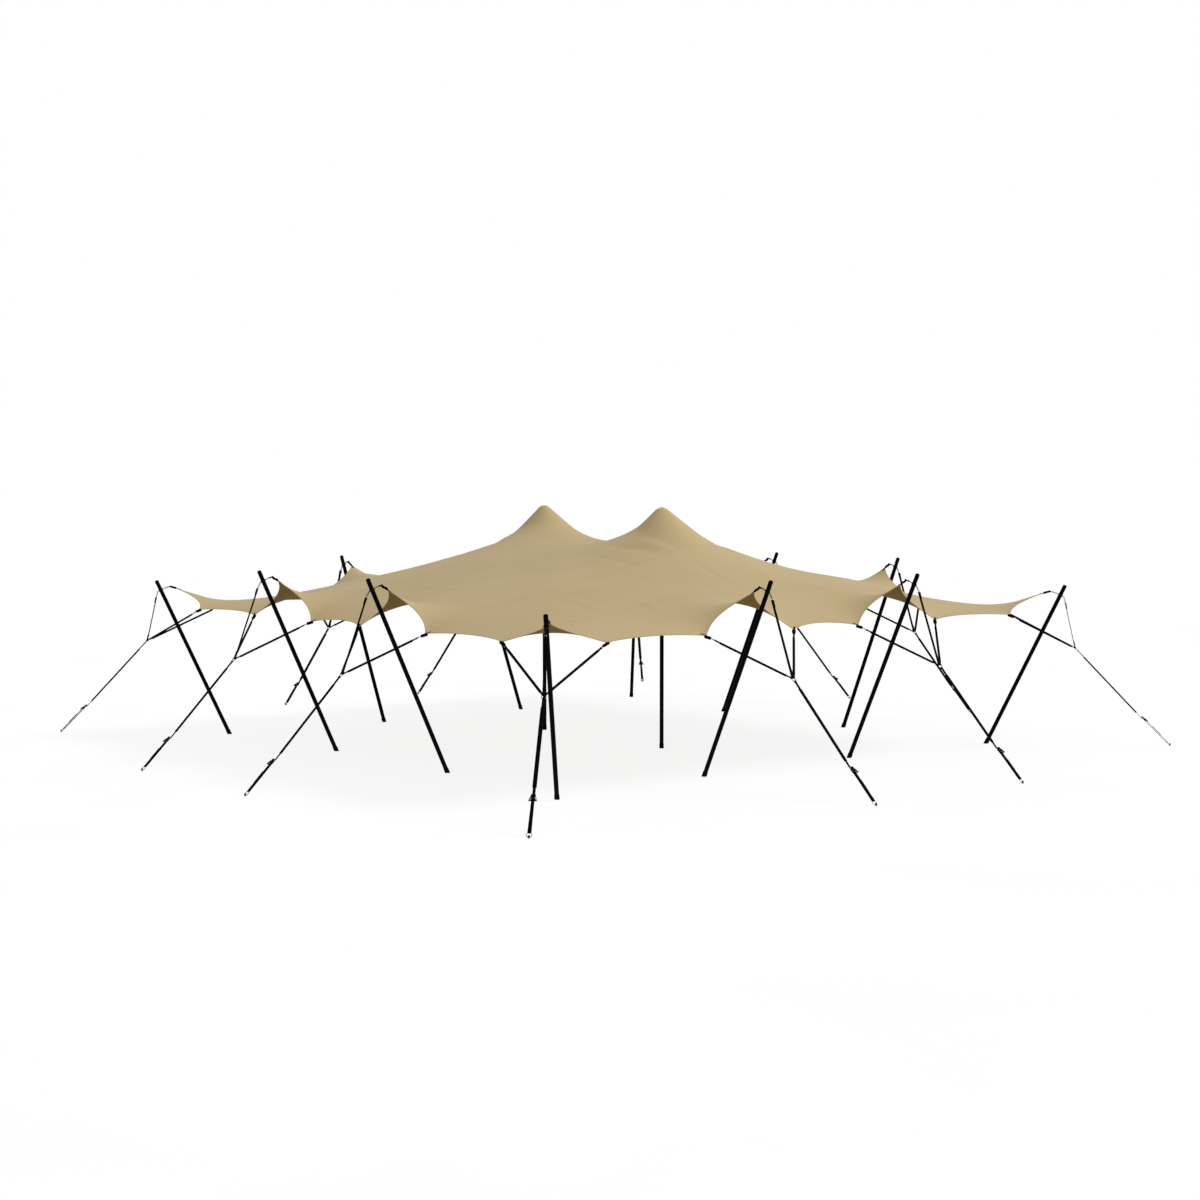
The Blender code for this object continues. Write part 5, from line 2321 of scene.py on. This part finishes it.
@dataclass(frozen=True)
class RatchetHandle:
    """The ratchet's handle: two flaring arms, a grip and a pull plate, shut down on its frame."""

    finishes: Finishes
    arm_out: float = 0.0265
    arm_thickness: float = 0.0028
    arm_depths: tuple[Pair, ...] = ((-0.0092, 0.0165), (-0.018, 0.021), (-0.05, 0.019), (-0.086, 0.0145))
    arm_bend: float = 0.018
    arm_inset: float = 0.004
    lip_rises: tuple[Pair, ...] = ((-0.02, 0.0094), (-0.05, 0.0085), (-0.076, 0.0067))
    boss_radius: float = 0.0128
    bore: float = 0.0088
    edge: float = 0.0005
    grip_out: float = 0.050
    grip_reach: float = 0.086
    grip_radius: float = 0.0072
    grip_ribs: int = 12
    plate_thickness: float = 0.002
    open_by: float = math.radians(11)

    def arm_at(self, y: float) -> float:
        """How far out an arm is at that distance down from the spindle."""
        share = max(0.0, -y - self.arm_bend) / (self.grip_reach - self.arm_bend)
        return self.arm_out + share * (self.grip_out - self.arm_inset - self.arm_out)

    def arm(self, draft: Draft, side: int) -> None:
        """One arm: a boss round the spindle, then a strip with rolled edges that flares out to the grip.

        Args:
            draft: what it is added to.
            side: -1 or 1.
        """
        boss = Matrix.Translation((side * self.arm_out, 0, 0)) @ Matrix.Rotation(QUARTER, 4, "Y")
        half, edge, far = self.arm_thickness / 2, self.edge, self.boss_radius
        ring = [(self.bore, -half), (far - edge, -half), (far, edge - half)]
        draft.sleeve(ring + [(r, -h) for r, h in reversed(ring)], boss, 32)
        sections = []
        for y, depth in self.arm_depths:
            x = side * self.arm_at(y)
            low, high = -depth / 2, depth / 2
            outline = [(-half, low + edge), (edge - half, low), (half - edge, low), (half, low + edge)]
            outline += [(half, high - edge), (half - edge, high), (edge - half, high), (-half, high - edge)]
            sections.append([Vector((x + a, y, b)) for a, b in outline])
        draft.skin(sections)
        for sign in (-1, 1):
            lip = []
            for y, rise in self.lip_rises:
                x = side * self.arm_at(y)
                turn = ((0.0, 0.0), (0.0042, 0.0), (0.0048, 0.0007), (0.0042, 0.0016), (0.0, 0.0016))
                lip.append([Vector((x + side * a, y, sign * (rise + b))) for a, b in turn])
            draft.skin(lip)

    def frame_mesh(self) -> Mesh:
        """The arms, the cross web and the pull plate.

        Returns:
            Their mesh.
        """
        draft = Draft()
        for side in (-1, 1):
            self.arm(draft, side)
        thick = self.plate_thickness
        web = Matrix.Translation((0, -0.0675, 0.0088)) @ Matrix.Rotation(math.radians(8), 4, "X")
        low, high = self.arm_at(-0.0755), self.arm_at(-0.060)
        draft.plate([(-low, -0.008), (low, -0.008), (high, 0.0075), (-high, 0.0075)], thick, web)
        pull = Matrix.Translation((0, -0.045, 0.0094)) @ Matrix.Rotation(math.radians(2), 4, "X")
        wide = self.arm_out - self.arm_thickness / 2
        right = [(0.011, -0.0185), (0.0135, -0.006), (wide, 0.001), (wide, 0.0115), (0.018, 0.0145)]
        left = [(-x, y) for x, y in right]
        draft.plate([left[0], *right, *left[:0:-1]], thick, pull)
        lip = pull @ Matrix.Translation((0, -0.0185, 0.003)) @ Matrix.Rotation(math.radians(68), 4, "X")
        draft.plate([(-0.011, -0.003), (0.011, -0.003), (0.010, 0.0045), (-0.010, 0.0045)], thick, lip)
        return draft.mesh("handle_frame", self.finishes.ratchet)

    def grip_mesh(self) -> Mesh:
        """The rubber grip with its ribs.

        Returns:
            Its mesh.
        """
        draft = Draft()
        turn = Matrix.Translation((-self.grip_out, -self.grip_reach, 0)) @ Matrix.Rotation(QUARTER, 4, "Y")
        r, long = self.grip_radius, 2 * self.grip_out
        high = r + 0.0008
        profile = [(r - 0.002, 0.0), (r, 0.001)]
        for k in range(self.grip_ribs):
            at = 0.008 + k * (long - 0.016) / self.grip_ribs
            profile += [(r, at), (high, at + 0.001), (high, at + 0.004), (r, at + 0.005)]
        profile += [(r, long - 0.001), (r - 0.002, long)]
        draft.lathe(profile, turn, 24)
        return draft.mesh("handle_grip", self.finishes.rubber)

    def pieces(self, plan: StationPlan) -> list[Piece]:
        """Both pieces of the handle.

        Args:
            plan: where it is.

        Returns:
            Its frame and its grip, on the spindle.
        """
        at = plan.strap_frame() @ Matrix.Rotation(-self.open_by, 4, "X")
        found = []
        for label, mesh in (("_frame", self.frame_mesh()), ("_grip", self.grip_mesh())):
            mesh.transform(at)
            found.append(Piece(label, mesh, Slot.RATCHET, "ratchet_handle", "handle"))
        return found


@dataclass(frozen=True)
class Studio:
    """The pale floor, the soft light and the camera."""

    floor_radius: float = 400.0
    floor_low: float = 0.012
    camera_at: Triple = (24.548, -20.294, 4.2)
    yaw: float = 140.45
    pitch: float = 3.60
    focal: float = 60.79
    sensor: float = 36.0
    far_clip: float = 1000.0
    sky: float = 0.55
    key: float = 2.2
    key_from: Triple = (0.40, 0.58, 0.71)
    key_size: float = 22.0

    def floor(self) -> None:
        """Lays the floor."""
        draft = Draft()
        low = Matrix.Translation((0, 0, -self.floor_low))
        draft.lathe([(self.floor_radius, 0.0), (self.floor_radius, 0.01)], low, 96)
        finish = FloorFinish("studio_floor", (0.11, 0.11, 0.11), (0.13, 0.13, 0.13)).material()
        piece = bpy.data.objects.new("studio_floor", draft.mesh("studio_floor", finish))
        bpy.context.scene.collection.objects.link(piece)

    def light(self) -> None:
        """Sets an even sky, white where the camera sees it, and one broad soft key light."""
        scene = bpy.context.scene
        world = bpy.data.worlds.new("studio")
        scene.world = world
        world.use_nodes = True
        bench = NodeBench(world.node_tree)
        seen = bench.node("LightPath").outputs["Is Camera Ray"]
        level = bench.add("MapRange", {"Value": seen, "To Min": self.sky, "To Max": 1.0})
        back = bench.tree.nodes["Background"]
        bench.tree.links.new(level, back.inputs["Strength"])
        back.inputs["Color"].default_value = (1.0, 1.0, 1.0, 1.0)
        sun = bpy.data.lights.new("key", "SUN")
        sun.energy = self.key
        sun.angle = math.radians(self.key_size)
        holder = bpy.data.objects.new("key", sun)
        holder.rotation_mode = "QUATERNION"
        holder.rotation_quaternion = Vector(self.key_from).to_track_quat("Z", "Y")
        scene.collection.objects.link(holder)
        scene.view_settings.view_transform = "Standard"

    def camera(self) -> None:
        """Sets the camera at the photograph's viewing angle."""
        lens = bpy.data.cameras.new("camera")
        lens.lens = self.focal
        lens.sensor_width = self.sensor
        lens.clip_end = self.far_clip
        holder = bpy.data.objects.new("camera", lens)
        yaw, pitch = math.radians(self.yaw), math.radians(self.pitch)
        look = Vector((math.cos(yaw) * math.cos(pitch), math.sin(yaw) * math.cos(pitch), -math.sin(pitch)))
        holder.location = self.camera_at
        holder.rotation_mode = "QUATERNION"
        holder.rotation_quaternion = look.to_track_quat("-Z", "Y")
        bpy.context.scene.collection.objects.link(holder)
        bpy.context.scene.camera = holder


def main() -> None:
    """Builds the tent, piece by piece, and the studio round it."""
    logging.basicConfig(level=logging.INFO, format="%(message)s")
    Studio().camera()
    plan = TentPlan()
    finishes = Finishes()
    stitches, links, gears = StitchTree(), LinkTree(), GearTree()
    cloth = Canopy(plan, finishes, stitches).build()
    poles = Pole(finishes)
    for name in KINGS:
        poles.king(name)
    handle = RatchetHandle(finishes)
    shared = {}
    for station_plan in (plan.edge(), plan.corner()):
        bridle = Bridle(station_plan, finishes, stitches, links)
        strap = GroundStrap(station_plan, finishes, stitches, gears)
        pieces = [poles.leaning(station_plan), bridle.fittings(), bridle.rings(), *bridle.straps()]
        pieces += [*strap.webbing(), strap.frame_parts(), strap.bright_parts(), strap.stake()]
        pieces += handle.pieces(station_plan)
        shared[station_plan.kind] = (pieces, bridle)
    for station in plan.stations():
        pieces, bridle = shared[station.plan.kind]
        for piece in pieces:
            piece.stamp(station)
        Tabs(cloth, finishes, stitches, bridle).build(station)
    Studio().floor()
    Studio().light()
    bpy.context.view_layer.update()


if __name__ == "__main__":
    main()
